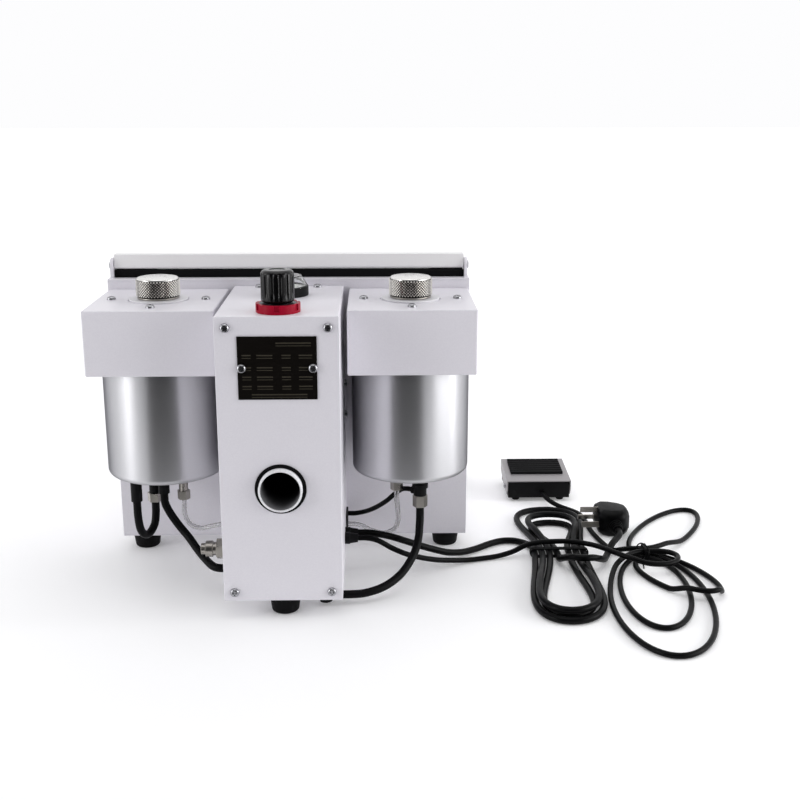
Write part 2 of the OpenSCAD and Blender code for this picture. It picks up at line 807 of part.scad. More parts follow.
module rubber_feet() {
    spots = [
        [0, 0], [foot_inset - half_w, rear_y + foot_inset], [half_w - foot_inset, rear_y + foot_inset],
        [foot_inset - half_w, front_y - foot_inset], [half_w - foot_inset, front_y - foot_inset]
    ];
    small = 9;
    pedal_in = 10;
    color("dimgray") {
        for (spot = spots)
            translate(spot)
            rotate_extrude()
            polygon([
                [0, 0], [(foot_d - foot_taper) / 2 - 1.5, 0], [(foot_d - foot_taper) / 2, 1.5],
                [foot_d / 2, foot_h], [0, foot_h]
            ]);
        for (x = [-1, 1])
            for (y = [pedal_y + pedal_in, pedal_y + pedal_d - pedal_in])
                rod_z(small, 0, pedal_foot_h, pedal_x + x * (pedal_w / 2 - pedal_in), y);
    }
}

// Lid
module lid_blank(inset, drop) {
    top = lid_gap + lid_h - (inset > 0 ? lid_skin : 0);
    across(inset - lid_x, lid_x - inset)
        polygon(band(lid_y0 + inset, lid_y1 - inset, lid_gap - drop, top));
}

module lid_frame() {
    color("gainsboro")
        difference() {
            lid_blank(0, 0);
            lid_blank(lid_wall, 2);
            block([-window_x, window_y0, 0], [window_x, window_y1, rim_h + lid_gap + lid_h]);
            across(-lid_x - through, lid_x + through)
                difference() {
                    translate([lid_y0 - through, pivot_z - pivot_r - through])
                        square(pivot_r + through);
                    translate([pivot_y, pivot_z])
                        circle(pivot_r);
                }
            both_sides()
                rod_x(hinge_pin_d + 2 * run_fit, lid_x - lid_wall - 2, lid_x + through, pivot_y, pivot_z);
        }
}

module lid_window() {
    top = lid_gap + lid_h - lid_skin;
    color("lightblue", 0.4)
        across(-window_x - glass_lap, window_x + glass_lap)
        polygon(band(window_y0 - glass_lap, window_y1 + glass_lap, top - glass_t, top));
}

module lid_handle() {
    z = rim_z(lid_y1) + lid_gap + lid_h / 2;
    post_x = handle_w / 2 - 10;
    color("dimgray") {
        rod_x(handle_rod_d, -handle_w / 2, handle_w / 2, lid_y1 + handle_out, z);
        for (x = [-post_x, post_x])
            rod_y(handle_rod_d - 1, lid_y1, lid_y1 + handle_out, x, z);
    }
}

// Column
module column_shell() {
    x1 = column_w / 2;
    color("gainsboro")
        difference() {
            union() {
                difference() {
                    block([-x1, cover_y, foot_h], [x1, rear_y, column_h]);
                    block(
                        [sheet - x1, cover_y - through, pan_z],
                        [x1 - sheet, rear_y + through, column_h - sheet]
                    );
                }
                both_sides()
                    for (z = [pan_z, column_h - sheet - post])
                        block([x1 - sheet - post, cover_y, z], [x1 - sheet, cover_y + 8, z + post]);
            }
            both_sides()
                for (z = cover_screw_z)
                    rod_y(screw_hole_d, cover_y - through, cover_y + 8 + through, cover_screw_x, z);
            rod_z(
                neck_thread_d + 2 * slip_fit, column_h - sheet - through, column_h + through,
                0, regulator_y
            );
            rod_z(gauge_body_d + 2 * slip_fit, column_h - sheet - through, column_h + through, 0, gauge_y);
            both_sides()
                rod_z(screw_hole_d, column_h - sheet - through, column_h + through, top_screw_x, top_screw_y);
            for (z = side_screw_z)
                rod_x(screw_hole_d, x1 - sheet - through, x1 + through, side_screw_y, z);
            for (y = [mains_gland_y, pedal_gland_y])
                rod_x(gland_d - 4, x1 - sheet - through, x1 + through, y, gland_z);
            rod_x(inlet_bore_d + 4, -x1 - through, sheet + through - x1, inlet_y, inlet_z);
        }
}

module column_cover() {
    x1 = column_w / 2;
    color("gainsboro")
        difference() {
            block([-x1, -column_front, foot_h], [x1, cover_y, column_h]);
            rod_y(grommet_hole_d, -column_front - through, cover_y + through, 0, pipe_z);
            both_sides() {
                for (z = cover_screw_z)
                    rod_y(screw_hole_d, -column_front - through, cover_y + through, cover_screw_x, z);
                rod_y(screw_hole_d, -column_front - through, cover_y + through, plate_screw_x, plate_z);
            }
        }
}

module cover_screws() {
    color("dimgray")
        both_sides()
        for (z = cover_screw_z)
            translate([cover_screw_x, -column_front, z])
            rotate([90, 0, 0])
            button_screw(8);
}

module panel_screws() {
    color("silver") {
        both_sides() {
            for (a = [0:90:270])
                translate([
                    tank_x + hood_screw_circle / 2 * cos(a), tank_y + hood_screw_circle / 2 * sin(a), hood_z
                ])
                button_screw(7);
            translate([top_screw_x, top_screw_y, column_h])
                button_screw(6);
            translate([plate_screw_x, -column_front - plate_t, plate_z])
                rotate([90, 0, 0])
                button_screw(5);
        }
        for (z = side_screw_z)
            translate([column_w / 2, side_screw_y, z])
            rotate([0, 90, 0])
            button_screw(6);
    }
}

module nameplate() {
    color("black")
        difference() {
            block(
                [-plate_w / 2, -column_front - plate_t, plate_z - plate_h / 2],
                [plate_w / 2, -column_front, plate_z + plate_h / 2]
            );
            both_sides()
                translate([plate_screw_x, -column_front - plate_t - through, plate_z])
                rotate([-90, 0, 0])
                cylinder(d = screw_hole_d, h = plate_t + 2 * through);
        }
}

module dust_pipe() {
    far = rear_y + sheet + 6;
    color("whitesmoke")
        difference() {
            rod_y(pipe_d, -column_front - pipe_out, far, 0, pipe_z);
            rod_y(pipe_d - 2 * pipe_wall, -column_front - pipe_out - through, far + through, 0, pipe_z);
        }
}

module pipe_grommet() {
    inner = pipe_d / 2 + slip_fit;
    outer = grommet_lip_d / 2;
    groove = grommet_hole_d / 2 - 0.1;
    color("black")
        translate([0, -column_front, pipe_z])
        rotate([-90, 0, 0])
        rotate_extrude()
        polygon([
            [inner, -grommet_lip], [outer - 0.4, -grommet_lip], [outer, 0], [groove, 0],
            [groove, sheet], [outer, sheet], [outer, sheet + grommet_lip], [inner, sheet + grommet_lip]
        ]);
}

module solenoid_valves() {
    top = pan_z + valve_size[2];
    coil_d = 24;
    coil_h = 30;
    color("darkslategray")
        both_sides() {
            block([valve_x, valve_y, pan_z], [valve_x + valve_size[0], valve_y + valve_size[1], top]);
            rod_z(coil_d, top, top + coil_h, valve_x + valve_size[0] / 2, valve_y + valve_size[1] / 2);
        }
}

module power_supply() {
    x1 = column_w / 2 - sheet;
    color("silver")
        difference() {
            block(
                [x1 - supply_size[0], side_screw_y - supply_size[1] / 2, supply_z],
                [x1, side_screw_y + supply_size[1] / 2, supply_z + supply_size[2]]
            );
            for (z = side_screw_z)
                rod_x(screw_hole_d, x1 - 8, x1 + through, side_screw_y, z);
        }
}

module air_inlet() {
    x = -column_w / 2;
    hex_d = 18 / cos(30);
    color("silver")
        difference() {
            union() {
                rod_x(inlet_bore_d + 3.6, x - 12, x + 8, inlet_y, inlet_z);
                translate([x - 12, inlet_y, inlet_z])
                    rotate([0, 90, 0])
                    cylinder(d = hex_d, h = 12, $fn = 6);
                rod_x(13, x - 15.5, x - 12, inlet_y, inlet_z);
                rod_x(15.5, x - 22.5, x - 15.5, inlet_y, inlet_z);
                rod_x(11, x - 27, x - 22.5, inlet_y, inlet_z);
            }
            rod_x(inlet_bore_d, x - 27 - through, x - 5, inlet_y, inlet_z);
            rod_x(inlet_bore_d - 2, x - 6, x + 8 + through, inlet_y, inlet_z);
        }
}

module cord_glands() {
    x = column_w / 2;
    collar = 5;
    color("dimgray") {
        for (y = [mains_gland_y, pedal_gland_y]) {
            rod_x(gland_d, x, x + collar, y, gland_z);
            translate([x + collar, y, gland_z])
                rotate([0, 90, 0])
                cylinder(d1 = gland_d - 1, d2 = 8.5, h = gland_l - collar);
            rod_x(gland_d - 4.4, x - 5, x, y, gland_z);
        }
        block(
            [x, slot_y - slot_size[1] / 2, slot_z - slot_size[2] / 2],
            [x + slot_size[0], slot_y + slot_size[1] / 2, slot_z + slot_size[2] / 2]
        );
    }
}

// Regulator and gauge
module regulator_body() {
    body_d = 42;
    body_h = 40;
    top = column_h - sheet;
    neck_z = column_h + ring_h;
    color("dimgray")
        translate([0, regulator_y, 0])
        difference() {
            union() {
                rod_z(body_d, top - body_h, top, 0, 0);
                rod_z(neck_thread_d, top, neck_z, 0, 0);
                rod_z(knob_d - 4, neck_z, knob_z - seat_gap, 0, 0);
            }
            rod_z(spindle_d + 2 * run_fit, top - body_h + 8, knob_z + through, 0, 0);
        }
}

module regulator_ring() {
    notch_n = 6;
    notch = 5;
    notch_depth = 1.5;
    color("crimson")
        translate([0, regulator_y, column_h])
        difference() {
            cylinder(d = ring_d, h = ring_h);
            translate([0, 0, -through])
                cylinder(d = neck_thread_d + 2 * run_fit, h = ring_h + 2 * through);
            for (i = [0:notch_n - 1])
                rotate(30 + 360 * i / notch_n)
                translate([ring_d / 2 - notch_depth, -notch / 2, 2.5])
                cube([notch_depth + through, notch, ring_h]);
        }
}

module regulator_spindle() {
    color("silver")
        rod_z(spindle_d, column_h - sheet - 30, spindle_top, 0, regulator_y);
}

module regulator_knob() {
    r = knob_d / 2;
    flute_n = 14;
    round_r = 5;
    shoulder = [for (a = [0:15:90]) [r - round_r + round_r * cos(a), knob_h - round_r + round_r * sin(a)]];
    color("black")
        translate([0, regulator_y, knob_z])
        difference() {
            rotate_extrude()
                polygon(concat([[0, 0], [r - 2.5, 0], [r, 3]], shoulder, [[0, knob_h]]));
            translate([0, 0, -through])
                cylinder(d = spindle_d + 2 * run_fit, h = knob_bore_depth + through);
            for (i = [0:flute_n - 1])
                rotate(360 * i / flute_n)
                translate([r + 1.4, 0, 5])
                cylinder(d = 4, h = knob_h);
        }
}

module gauge_case() {
    color("black")
        translate([0, gauge_y, 0])
        union() {
            difference() {
                union() {
                    rod_z(gauge_d, column_h, gauge_top, 0, 0);
                    rod_z(gauge_body_d, column_h - 24, column_h, 0, 0);
                }
                rod_z(gauge_d - 4, dial_z, gauge_top + through, 0, 0);
            }
            rod_z(axle_d, dial_z, gauge_top + 4, 0, 0);
        }
}

module gauge_lens() {
    r = gauge_d / 2 - 0.5;
    skin = 1.5;
    lean = 6;
    color("lightblue", 0.4)
        translate([0, gauge_y, gauge_top])
        rotate_extrude()
        polygon([
            [r, 0], [r - lean, lens_h], [0, lens_h], [0, lens_h - skin],
            [r - lean - skin + 0.8, lens_h - skin], [r - skin, 0]
        ]);
}

module gauge_needle() {
    reach = gauge_d / 2 - 9;
    hub_d = 5;
    color("black")
        translate([0, gauge_y, gauge_top + 1])
        difference() {
            union() {
                cylinder(d = hub_d, h = 1.6);
                rotate(225)
                    translate([-5, -0.6, 0.4])
                    cube([reach + 5, 1.2, 0.8]);
            }
            translate([0, 0, -through])
                cylinder(d = axle_d + 2 * run_fit, h = 2 + 2 * through);
        }
}

// Tanks
module tank_hoods() {
    color("gainsboro")
        both_sides()
        difference() {
            block([tank_x - hood_w / 2, hood_y0, hood_z - apron_h], [tank_x + hood_w / 2, rear_y, hood_z]);
            block(
                [tank_x - hood_w / 2 + sheet, hood_y0 + sheet, hood_z - apron_h - through],
                [tank_x + hood_w / 2 - sheet, rear_y + through, hood_z - sheet]
            );
            rod_z(neck_hole_d, hood_z - sheet - through, hood_z + through, tank_x, tank_y);
            for (a = [0:90:270])
                rod_z(
                    screw_hole_d, hood_z - sheet - through, hood_z + through,
                    tank_x + hood_screw_circle / 2 * cos(a), tank_y + hood_screw_circle / 2 * sin(a)
                );
        }
}

module sand_tanks() {
    r = tank_d / 2;
    inner = tank_fillet - tank_wall;
    corner = [r - tank_fillet, tank_z + tank_fillet];
    outside = [for (a = [0:15:90]) corner + tank_fillet * [sin(a), -cos(a)]];
    inside = [for (a = [90:-15:0]) corner + inner * [sin(a), -cos(a)]];
    color("silver")
        for (x = [-tank_x, tank_x])
            translate([x, tank_y, 0])
            rotate_extrude()
            polygon(concat(
                [[0, tank_z]], outside, [[r, head_z], [r - tank_wall, head_z]], inside,
                [[0, tank_z + tank_wall]]
            ));
}

module tank_heads() {
    r = tank_d / 2;
    color("silver")
        both_sides()
        difference() {
            union() {
                rod_z(tank_d, head_z, head_z + head_t, tank_x, tank_y);
                rod_z(2 * (r - tank_wall - 0.1), head_z - spigot_h, head_z, tank_x, tank_y);
                rod_z(neck_d, head_z + head_t, neck_top, tank_x, tank_y);
            }
            rod_z(mouth_d, head_z - spigot_h - through, neck_top + through, tank_x, tank_y);
            for (a = [0:90:270])
                rod_z(
                    screw_hole_d, head_z + 2, head_z + head_t + through,
                    tank_x + hood_screw_circle / 2 * cos(a), tank_y + hood_screw_circle / 2 * sin(a)
                );
        }
}

module cap_plug(x) {
    z = neck_top + seat_gap;
    color("darkgray") {
        rod_z(mouth_d - 2 * run_fit, z - cap_plug_h, z, x, tank_y);
        rod_z(cap_d - 1.5, z, z + cap_flange_h, x, tank_y);
        rod_z(cap_stem_d, z + cap_flange_h, z + cap_flange_h + cap_stem_h, x, tank_y);
    }
}

module cap_knob(x) {
    r = cap_d / 2;
    bevel = 1.2;
    color("silver")
        translate([x, tank_y, cap_z])
        difference() {
            rotate_extrude()
                polygon([
                    [0, 0], [r - bevel, 0], [r, bevel], [r, cap_h - bevel], [r - bevel, cap_h], [0, cap_h]
                ]);
            translate([0, 0, -through])
                cylinder(d = cap_stem_d + 2 * run_fit, h = cap_stem_h + 0.5 + through);
        }
}

module left_cap_plug() {
    cap_plug(-tank_x);
}

module left_cap_knob() {
    cap_knob(-tank_x);
}

module right_cap_plug() {
    cap_plug(tank_x);
}

module right_cap_knob() {
    cap_knob(tank_x);
}

module stub(at, d, low) {
    rod_z(d, low, tank_z, at[0], at[1]);
}

module nut(at, low, high, across = fitting_hex) {
    translate([at[0], at[1], low])
        cylinder(d = across / cos(30), h = high - low, $fn = 6);
}

module tank_fittings() {
    tee = right_at(tee_stub);
    color("dimgray") {
        for (s = [loop_start, loop_end, feed_stub])
            stub(left_at(s), stub_d, s[2]);
        stub(tee, stub_d + 2, tee_stub[2]);
        rod_z(tee_flange_d, tee_flange_z, tee_flange_z + 3.5, tee[0], tee[1]);
        translate([tee[0], tee[1], tee_side_z])
            rotate([0, 0, -tee_side_turn])
            rod_x(8, -tee_side_x, 0, 0, 0);
        rod_z(foot_elbow_d, under_hose_z - foot_elbow_d / 2, foot_h, foot_elbow[0], foot_elbow[1]);
        rod_x(10, foot_elbow[0], foot_elbow[0] + foot_elbow_reach, foot_elbow[1], under_hose_z);
    }
}

module hose_nuts() {
    color("silver") {
        nut(left_at(loop_end), loop_nut_z, loop_end[2]);
        nut(right_at(tee_stub), tee_nut_z, tee_stub[2]);
        for (at = [left_at(left_clear_stub), right_at(right_clear_stub)]) {
            nut(at, at[2], at[2] + 9, clear_hex);
            rod_z(9, at[2] + 9, tank_z, at[0], at[1]);
        }
    }
}

module black_hoses() {
    color("dimgray") {
        tube(curve(loop_route, 3), hose_d, 8);
        tube(curve(feed_route, 2), hose_d, 8);
        tube(curve(thick_route, 2), hose_d, 8);
        tube(curve(thin_route, 2), thin_hose_d, 8);
    }
}

module clear_hoses() {
    color("lightblue", 0.5) {
        tube(curve(left_clear_route, 3), thin_hose_d, 8);
        tube(curve(right_clear_route, 2), thin_hose_d, 8);
    }
}

// Switches
module switch_frames() {
    color("black")
        for (x = [-switch_x, switch_x])
            difference() {
                union() {
                    block(
                        [x - frame_w / 2, front_y, switch_z - frame_h / 2],
                        [x + frame_w / 2, front_y + frame_face, switch_z + frame_h / 2]
                    );
                    block(
                        [x - frame_w / 2 + 1.7, front_y - frame_depth, switch_z - frame_h / 2 + 2.2],
                        [x + frame_w / 2 - 1.7, front_y, switch_z + frame_h / 2 - 2.2]
                    );
                }
                block(
                    [x - frame_w / 2 + 1.7 + frame_wall - 1, rocker_y - 6, switch_z - 10.2],
                    [x + frame_w / 2 - 1.7 - frame_wall + 1, front_y + frame_face + through, switch_z + 10.2]
                );
                translate([x - frame_w / 2 + 2.4, rocker_y, switch_z])
                    rotate([0, 90, 0])
                    cylinder(d = trunnion_d + 2 * run_fit, h = frame_w - 4.8);
            }
}

module rocker(x) {
    half = frame_w / 2 - 1.7 - frame_wall + 1 - rocker_side_gap;
    color("dimgray") {
        translate([0, rocker_y, switch_z])
            rotate([rocker_tilt, 0, 0])
            across(x - half, x + half)
            polygon([
                [-3, -4], [-3, 4], [3, rocker_half], [8, rocker_half], [6.8, 0],
                [8, -rocker_half], [3, -rocker_half]
            ]);
        rod_x(trunnion_d, x - half - 0.8, x + half + 0.8, rocker_y, switch_z);
    }
}

module power_rocker() {
    rocker(-switch_x);
}

module selector_rocker() {
    rocker(switch_x);
}

// Pedal
function pedal_line(y) = pedal_top + (y - pedal_y) * pedal_slope;

module pedal_base() {
    x0 = pedal_x - pedal_w / 2;
    x1 = pedal_x + pedal_w / 2;
    far = pedal_y + pedal_d;
    floor_z = pedal_foot_h + pedal_wall;
    wall_far = pedal_top - 6;
    color("black")
        difference() {
            across(x0, x1)
                polygon([
                    [pedal_y, pedal_foot_h], [far, pedal_foot_h], [far, wall_far],
                    [pedal_y + 8, pedal_top - 0.6], [pedal_y, pedal_top - 0.6]
                ]);
            block(
                [x0 + pedal_wall, pedal_y + pedal_wall, floor_z],
                [x1 - pedal_wall, far - pedal_wall, pedal_top + 10]
            );
            rod_x(pedal_pin_d + 2 * run_fit, x0 - through, x1 + through, pedal_pivot_y, pedal_pivot_z);
        }
}

module pedal_cover() {
    x0 = pedal_x - pedal_w / 2 - cover_gap;
    x1 = pedal_x + pedal_w / 2 + cover_gap;
    far = pedal_y + pedal_d + cover_gap;
    cheek_z = pedal_foot_h + 3;
    cheek_far_z = pedal_top - 7;
    color("gray") {
        across(x0 - cover_t, x1 + cover_t)
            polygon([
                [pedal_y, pedal_line(pedal_y)], [pedal_y, pedal_line(pedal_y) + cover_t],
                [far, pedal_line(far) + cover_t], [far, pedal_line(far)]
            ]);
        for (x = [x0 - cover_t, x1])
            difference() {
                across(x, x + cover_t)
                    polygon([
                        [pedal_y + 4, cheek_z], [pedal_y, pedal_line(pedal_y) - 10],
                        [pedal_y, pedal_line(pedal_y) + cover_t],
                        [far, pedal_line(far) + cover_t], [far, cheek_far_z], [pedal_y + 30, cheek_z]
                    ]);
                rod_x(
                    pedal_pin_d + 2 * run_fit, x - through, x + cover_t + through,
                    pedal_pivot_y, pedal_pivot_z
                );
            }
    }
}

module pedal_tread() {
    y0 = pedal_y + pedal_d - 5 - tread_d;
    y1 = y0 + tread_d;
    rib = tread_d / rib_n;
    lift = cover_t;
    base = tread_t - 1.2;
    color("black")
        across(pedal_x - tread_w / 2, pedal_x + tread_w / 2)
        polygon(concat(
            [[y0, pedal_line(y0) + lift]],
            [
                for (i = [0:rib_n - 1])
                    for (step = [[0.1, base], [0.2, tread_t], [0.7, tread_t], [0.8, base]])
                    let (y = y0 + (i + step[0]) * rib) [y, pedal_line(y) + lift + step[1]]
            ],
            [[y1, pedal_line(y1) + lift + base], [y1, pedal_line(y1) + lift]]
        ));
}

module pedal_pin() {
    reach = pedal_w / 2 + cover_gap + cover_t;
    color("silver") {
        rod_x(pedal_pin_d, pedal_x - reach - 2.5, pedal_x + reach + 2.5, pedal_pivot_y, pedal_pivot_z);
    }
}

module pedal_spring() {
    low = pedal_foot_h + pedal_wall + spring_wire / 2;
    high = pedal_line(spring_y - spring_d / 2) - spring_wire / 2 - 0.2;
    steps = 12;
    path = [
        for (i = [0:spring_turns * steps])
            let (turn = 360 * i / steps)
            [
                pedal_x + spring_d / 2 * cos(turn), spring_y + spring_d / 2 * sin(turn),
                low + (high - low) * i / (spring_turns * steps)
            ]
    ];
    color("silver")
        tube(path, spring_wire, 6);
}

module pedal_switch() {
    low = pedal_foot_h + pedal_wall;
    body = [20, 7, 13];
    plunger = 3.6;
    y0 = pedal_y + 30;
    color("dimgray") {
        block([pedal_x - body[0] / 2, y0, low], [pedal_x + body[0] / 2, y0 + body[1], low + body[2]]);
        rod_z(3, low + body[2], low + body[2] + plunger, pedal_x, y0 + body[1] / 2);
    }
}

// Cords
module mains_cord() {
    color("dimgray") {
        tube(mains_lead_path, mains_d, 8);
        tube(mains_tail_path, mains_d, 8);
    }
}

module mains_hank() {
    color("dimgray")
        tube(hank_path, mains_d, 6);
}

module mains_plug() {
    bevel = 8;
    mid_y = plug_y + plug_size[1] / 2;
    mid_z = plug_z + plug_size[2] / 2;
    pins = [[0, 9, 0], [12, -4, 25], [-12, -4, -25]];
    color("dimgray")
        intersection() {
            across(plug_x, plug_x + plug_size[0])
                polygon([
                    [plug_y, plug_z + 2], [plug_y + 2, plug_z], [plug_y + plug_size[1] - bevel, plug_z],
                    [plug_y + plug_size[1], plug_z + bevel],
                    [plug_y + plug_size[1], plug_z + plug_size[2] - bevel],
                    [plug_y + plug_size[1] - bevel, plug_z + plug_size[2]],
                    [plug_y + 2, plug_z + plug_size[2]],
                    [plug_y, plug_z + plug_size[2] - 2]
                ]);
            linear_extrude(plug_size[2] + 1)
                polygon([
                    [plug_x, plug_y], [plug_x, plug_y + plug_size[1]],
                    [plug_x + 16, plug_y + plug_size[1]], [plug_x + plug_size[0], plug_y + plug_size[1] - 14],
                    [plug_x + plug_size[0], plug_y + bevel], [plug_x + plug_size[0] - bevel, plug_y]
                ]);
        }
    color("dimgray")
        translate(plug_exit)
        rotate([-90, 0, 0])
        cylinder(d1 = mains_d + 3, d2 = 15, h = plug_relief_l);
    color("silver")
        for (pin = pins)
            translate([plug_x - blade[0], mid_y + pin[0], mid_z + 2 + pin[1]])
            rotate([pin[2], 0, 0])
            translate([0, -blade[1] / 2, -blade[2] / 2])
            cube(blade);
}

module pedal_cord() {
    color("dimgray") {
        tube(pedal_lead_path, pedal_cord_d, 8);
        tube(pedal_tail_path, pedal_cord_d, 8);
    }
}

module pedal_coil() {
    color("dimgray")
        tube(coil_path, pedal_cord_d, 6);
}

// A flat band round the strands, with its hole along Y or X
module tie_band(size, width) {
    linear_extrude(width, center = true)
        difference() {
            square(size + [2 * tie_t, 2 * tie_t], center = true);
            square(size, center = true);
        }
}

module cord_ties() {
    hank_low = -hank_inner - hank_step * hank_turns - mains_r - seat_gap;
    hank_high = hank_inner + hank_step * (hank_turns - 0.5) + mains_r + seat_gap;
    coil_half = coil_side + pedal_r + seat_gap;
    coil_high = coil_up + pedal_cord_d + 2 * seat_gap;
    color("dimgray") {
        translate([hank_at[0] + (hank_low + hank_high) / 2, hank_at[1], hank_z])
            rotate([90, 0, 0])
            tie_band([hank_high - hank_low, mains_d + 2 * seat_gap], 6);
        translate([coil_at[0], coil_at[1], tie_t + coil_high / 2])
            rotate([90, 0, 90])
            tie_band([2 * coil_half, coil_high], 4);
    }
}

base_pan();
rear_panel();
side_panels();
front_panel();
rim_frame();
rim_gasket();
arm_cuffs();
blast_grid();
lamp_bar();
blast_pens();
pen_hoses();
hinge_pins();
lid_frame();
lid_window();
lid_handle();
column_shell();
column_cover();
cover_screws();
panel_screws();
nameplate();
dust_pipe();
pipe_grommet();
regulator_body();
regulator_ring();
regulator_spindle();
regulator_knob();
gauge_case();
gauge_lens();
gauge_needle();
solenoid_valves();
power_supply();
air_inlet();
cord_glands();
tank_hoods();
sand_tanks();
tank_heads();
left_cap_plug();
left_cap_knob();
right_cap_plug();
right_cap_knob();
tank_fittings();
hose_nuts();
black_hoses();
clear_hoses();
rubber_feet();
switch_frames();
power_rocker();
selector_rocker();
pedal_base();
pedal_cover();
pedal_tread();
pedal_pin();
pedal_spring();
pedal_switch();
mains_cord();
mains_hank();
mains_plug();
pedal_cord();
pedal_coil();
cord_ties();
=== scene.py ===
import json
import math

import bmesh
import bpy
from mathutils import Matrix, Vector

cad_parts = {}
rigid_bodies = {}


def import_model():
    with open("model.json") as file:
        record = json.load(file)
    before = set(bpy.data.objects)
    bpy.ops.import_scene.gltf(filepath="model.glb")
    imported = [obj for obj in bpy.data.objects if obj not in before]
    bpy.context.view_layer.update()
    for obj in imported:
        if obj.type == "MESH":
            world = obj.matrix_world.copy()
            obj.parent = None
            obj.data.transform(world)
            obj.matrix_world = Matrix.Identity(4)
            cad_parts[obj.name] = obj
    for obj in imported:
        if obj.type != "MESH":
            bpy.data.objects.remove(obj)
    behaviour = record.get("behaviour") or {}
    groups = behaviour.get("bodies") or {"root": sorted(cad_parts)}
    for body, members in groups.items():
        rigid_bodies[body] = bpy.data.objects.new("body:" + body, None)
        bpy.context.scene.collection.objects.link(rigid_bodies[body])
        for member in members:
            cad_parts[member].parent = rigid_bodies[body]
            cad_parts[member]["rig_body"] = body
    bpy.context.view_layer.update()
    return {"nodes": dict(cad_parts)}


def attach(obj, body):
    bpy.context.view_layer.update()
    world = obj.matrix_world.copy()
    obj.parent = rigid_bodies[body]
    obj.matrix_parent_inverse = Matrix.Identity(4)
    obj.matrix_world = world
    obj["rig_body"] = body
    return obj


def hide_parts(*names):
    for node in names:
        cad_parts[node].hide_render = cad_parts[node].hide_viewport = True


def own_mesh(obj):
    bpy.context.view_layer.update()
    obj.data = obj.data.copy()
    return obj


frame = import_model()
scene = bpy.context.scene
mm = 0.001


def placed(name, data):
    """A new object in the scene that shows a mesh, curve, light or camera."""
    thing = bpy.data.objects.new(name, data)
    scene.collection.objects.link(thing)
    return thing


# Camera at the photograph's place, in metres and degrees
camera_place = (0.0857, -1.0172, 0.4771)
camera_down = 14.975
camera_right = 1.282
camera_lens = 52.28
camera_sensor = 36


def photo_camera():
    """The camera solved from the photograph, looking at the rear of the machine."""
    data = bpy.data.cameras.new("photo_camera")
    data.sensor_width = camera_sensor
    data.lens = camera_lens
    camera = placed("photo_camera", data)
    camera.location = camera_place
    camera.rotation_euler = (math.radians(90 - camera_down), 0, math.radians(-camera_right))
    scene.camera = camera


photo_camera()


# Materials
def linear(code):
    """An sRGB hex colour as linear red, green, blue and alpha."""
    parts = [int(code[i:i + 2], 16) / 255 for i in (1, 3, 5)]
    return [p / 12.92 if p <= 0.04045 else ((p + 0.055) / 1.055) ** 2.4 for p in parts] + [1.0]


def add(tree, kind, inputs=None, **settings):
    """Adds a node to a tree with its settings, and sets or links its inputs."""
    node = tree.nodes.new(kind)
    for name, value in settings.items():
        setattr(node, name, value)
    for key, value in (inputs or {}).items():
        if isinstance(value, bpy.types.NodeSocket):
            tree.links.new(value, node.inputs[key])
        else:
            node.inputs[key].default_value = value
    return node


def finish(name, slot, **values):
    """A material for one of the record's slots, with the constants of its surface."""
    material = bpy.data.materials.new(name)
    material.use_nodes = True
    material["slot"] = slot
    tree = material.node_tree
    surface = tree.nodes["Principled BSDF"]
    for key, value in values.items():
        surface.inputs[key.replace("_", " ").title().replace("Ior", "IOR")].default_value = value
    return material, tree, surface


def mixed(tree, share, first, second):
    """A colour that goes from the first to the second with a share."""
    return add(tree, "ShaderNodeMix", {0: share, 6: first, 7: second}, data_type="RGBA").outputs[2]


def ranged(tree, value, start, end, low=0.0, high=1.0, rise="SMOOTHSTEP"):
    """A number that goes from low to high while a value goes from start to end."""
    return add(tree, "ShaderNodeMapRange", {
        "Value": value, "From Min": start, "From Max": end, "To Min": low, "To Max": high,
    }, interpolation_type=rise).outputs["Result"]


def along_y(tree, space):
    """How far along Y a place is, in one kind of texture coordinates."""
    coords = add(tree, "ShaderNodeTexCoord")
    return add(tree, "ShaderNodeSeparateXYZ", {"Vector": coords.outputs[space]}).outputs["Y"]


noise_band = (0.3, 0.7)


def grained(name, slot, size, colours, gloss, depth, stretch=(1, 1, 1), **values):
    """A finish mottled in colour, gloss and height by one noise, with grain and depth in millimetres."""
    material, tree, surface = finish(name, slot, **values)
    coords = add(tree, "ShaderNodeTexCoord")
    mapping = add(tree, "ShaderNodeMapping", {"Vector": coords.outputs["Object"], "Scale": stretch})
    noise = add(tree, "ShaderNodeTexNoise", {
        "Vector": mapping.outputs["Vector"], "Scale": 1 / (size * mm), "Detail": 3.0, "Roughness": 0.55,
    }).outputs["Fac"]
    shade = mixed(tree, noise, *map(linear, colours))
    rough = ranged(tree, noise, *noise_band, *gloss, "LINEAR")
    bump = add(tree, "ShaderNodeBump", {"Height": noise, "Distance": depth * mm, "Strength": 0.6})
    tree.links.new(shade, surface.inputs["Base Color"])
    tree.links.new(rough, surface.inputs["Roughness"])
    tree.links.new(bump.outputs["Normal"], surface.inputs["Normal"])
    return material


# Polyester powder coat, baked on sheet steel: a cool white with a fine orange peel of about 1.5 mm
white_coat = grained(
    "powder_coated_steel_white", "white_steel", size=1.5, colours=("#DEDBE3", "#E7E5EB"),
    gloss=(0.34, 0.46), depth=0.03, coat_weight=0.12,
)
# Baked lacquer on the lid's frame: a neutral white, glossier than the cabinet, and lighter than it as painted
# light on the lid
lid_coat_lit = grained(
    "lacquer_white_painted_light", "white_steel", size=1.5, colours=("#EFEEEF", "#F5F4F5"),
    gloss=(0.3, 0.4), depth=0.02, coat_weight=0.15,
)
# Anodised aluminium, bead-blasted: a pale matt metal on the tanks' heads
head_metal = grained(
    "anodised_aluminium_matt", "satin_aluminium", size=1.2, colours=("#DEDDE1", "#E7E6EA"),
    gloss=(0.5, 0.6), depth=0.01, metallic=0.3,
)
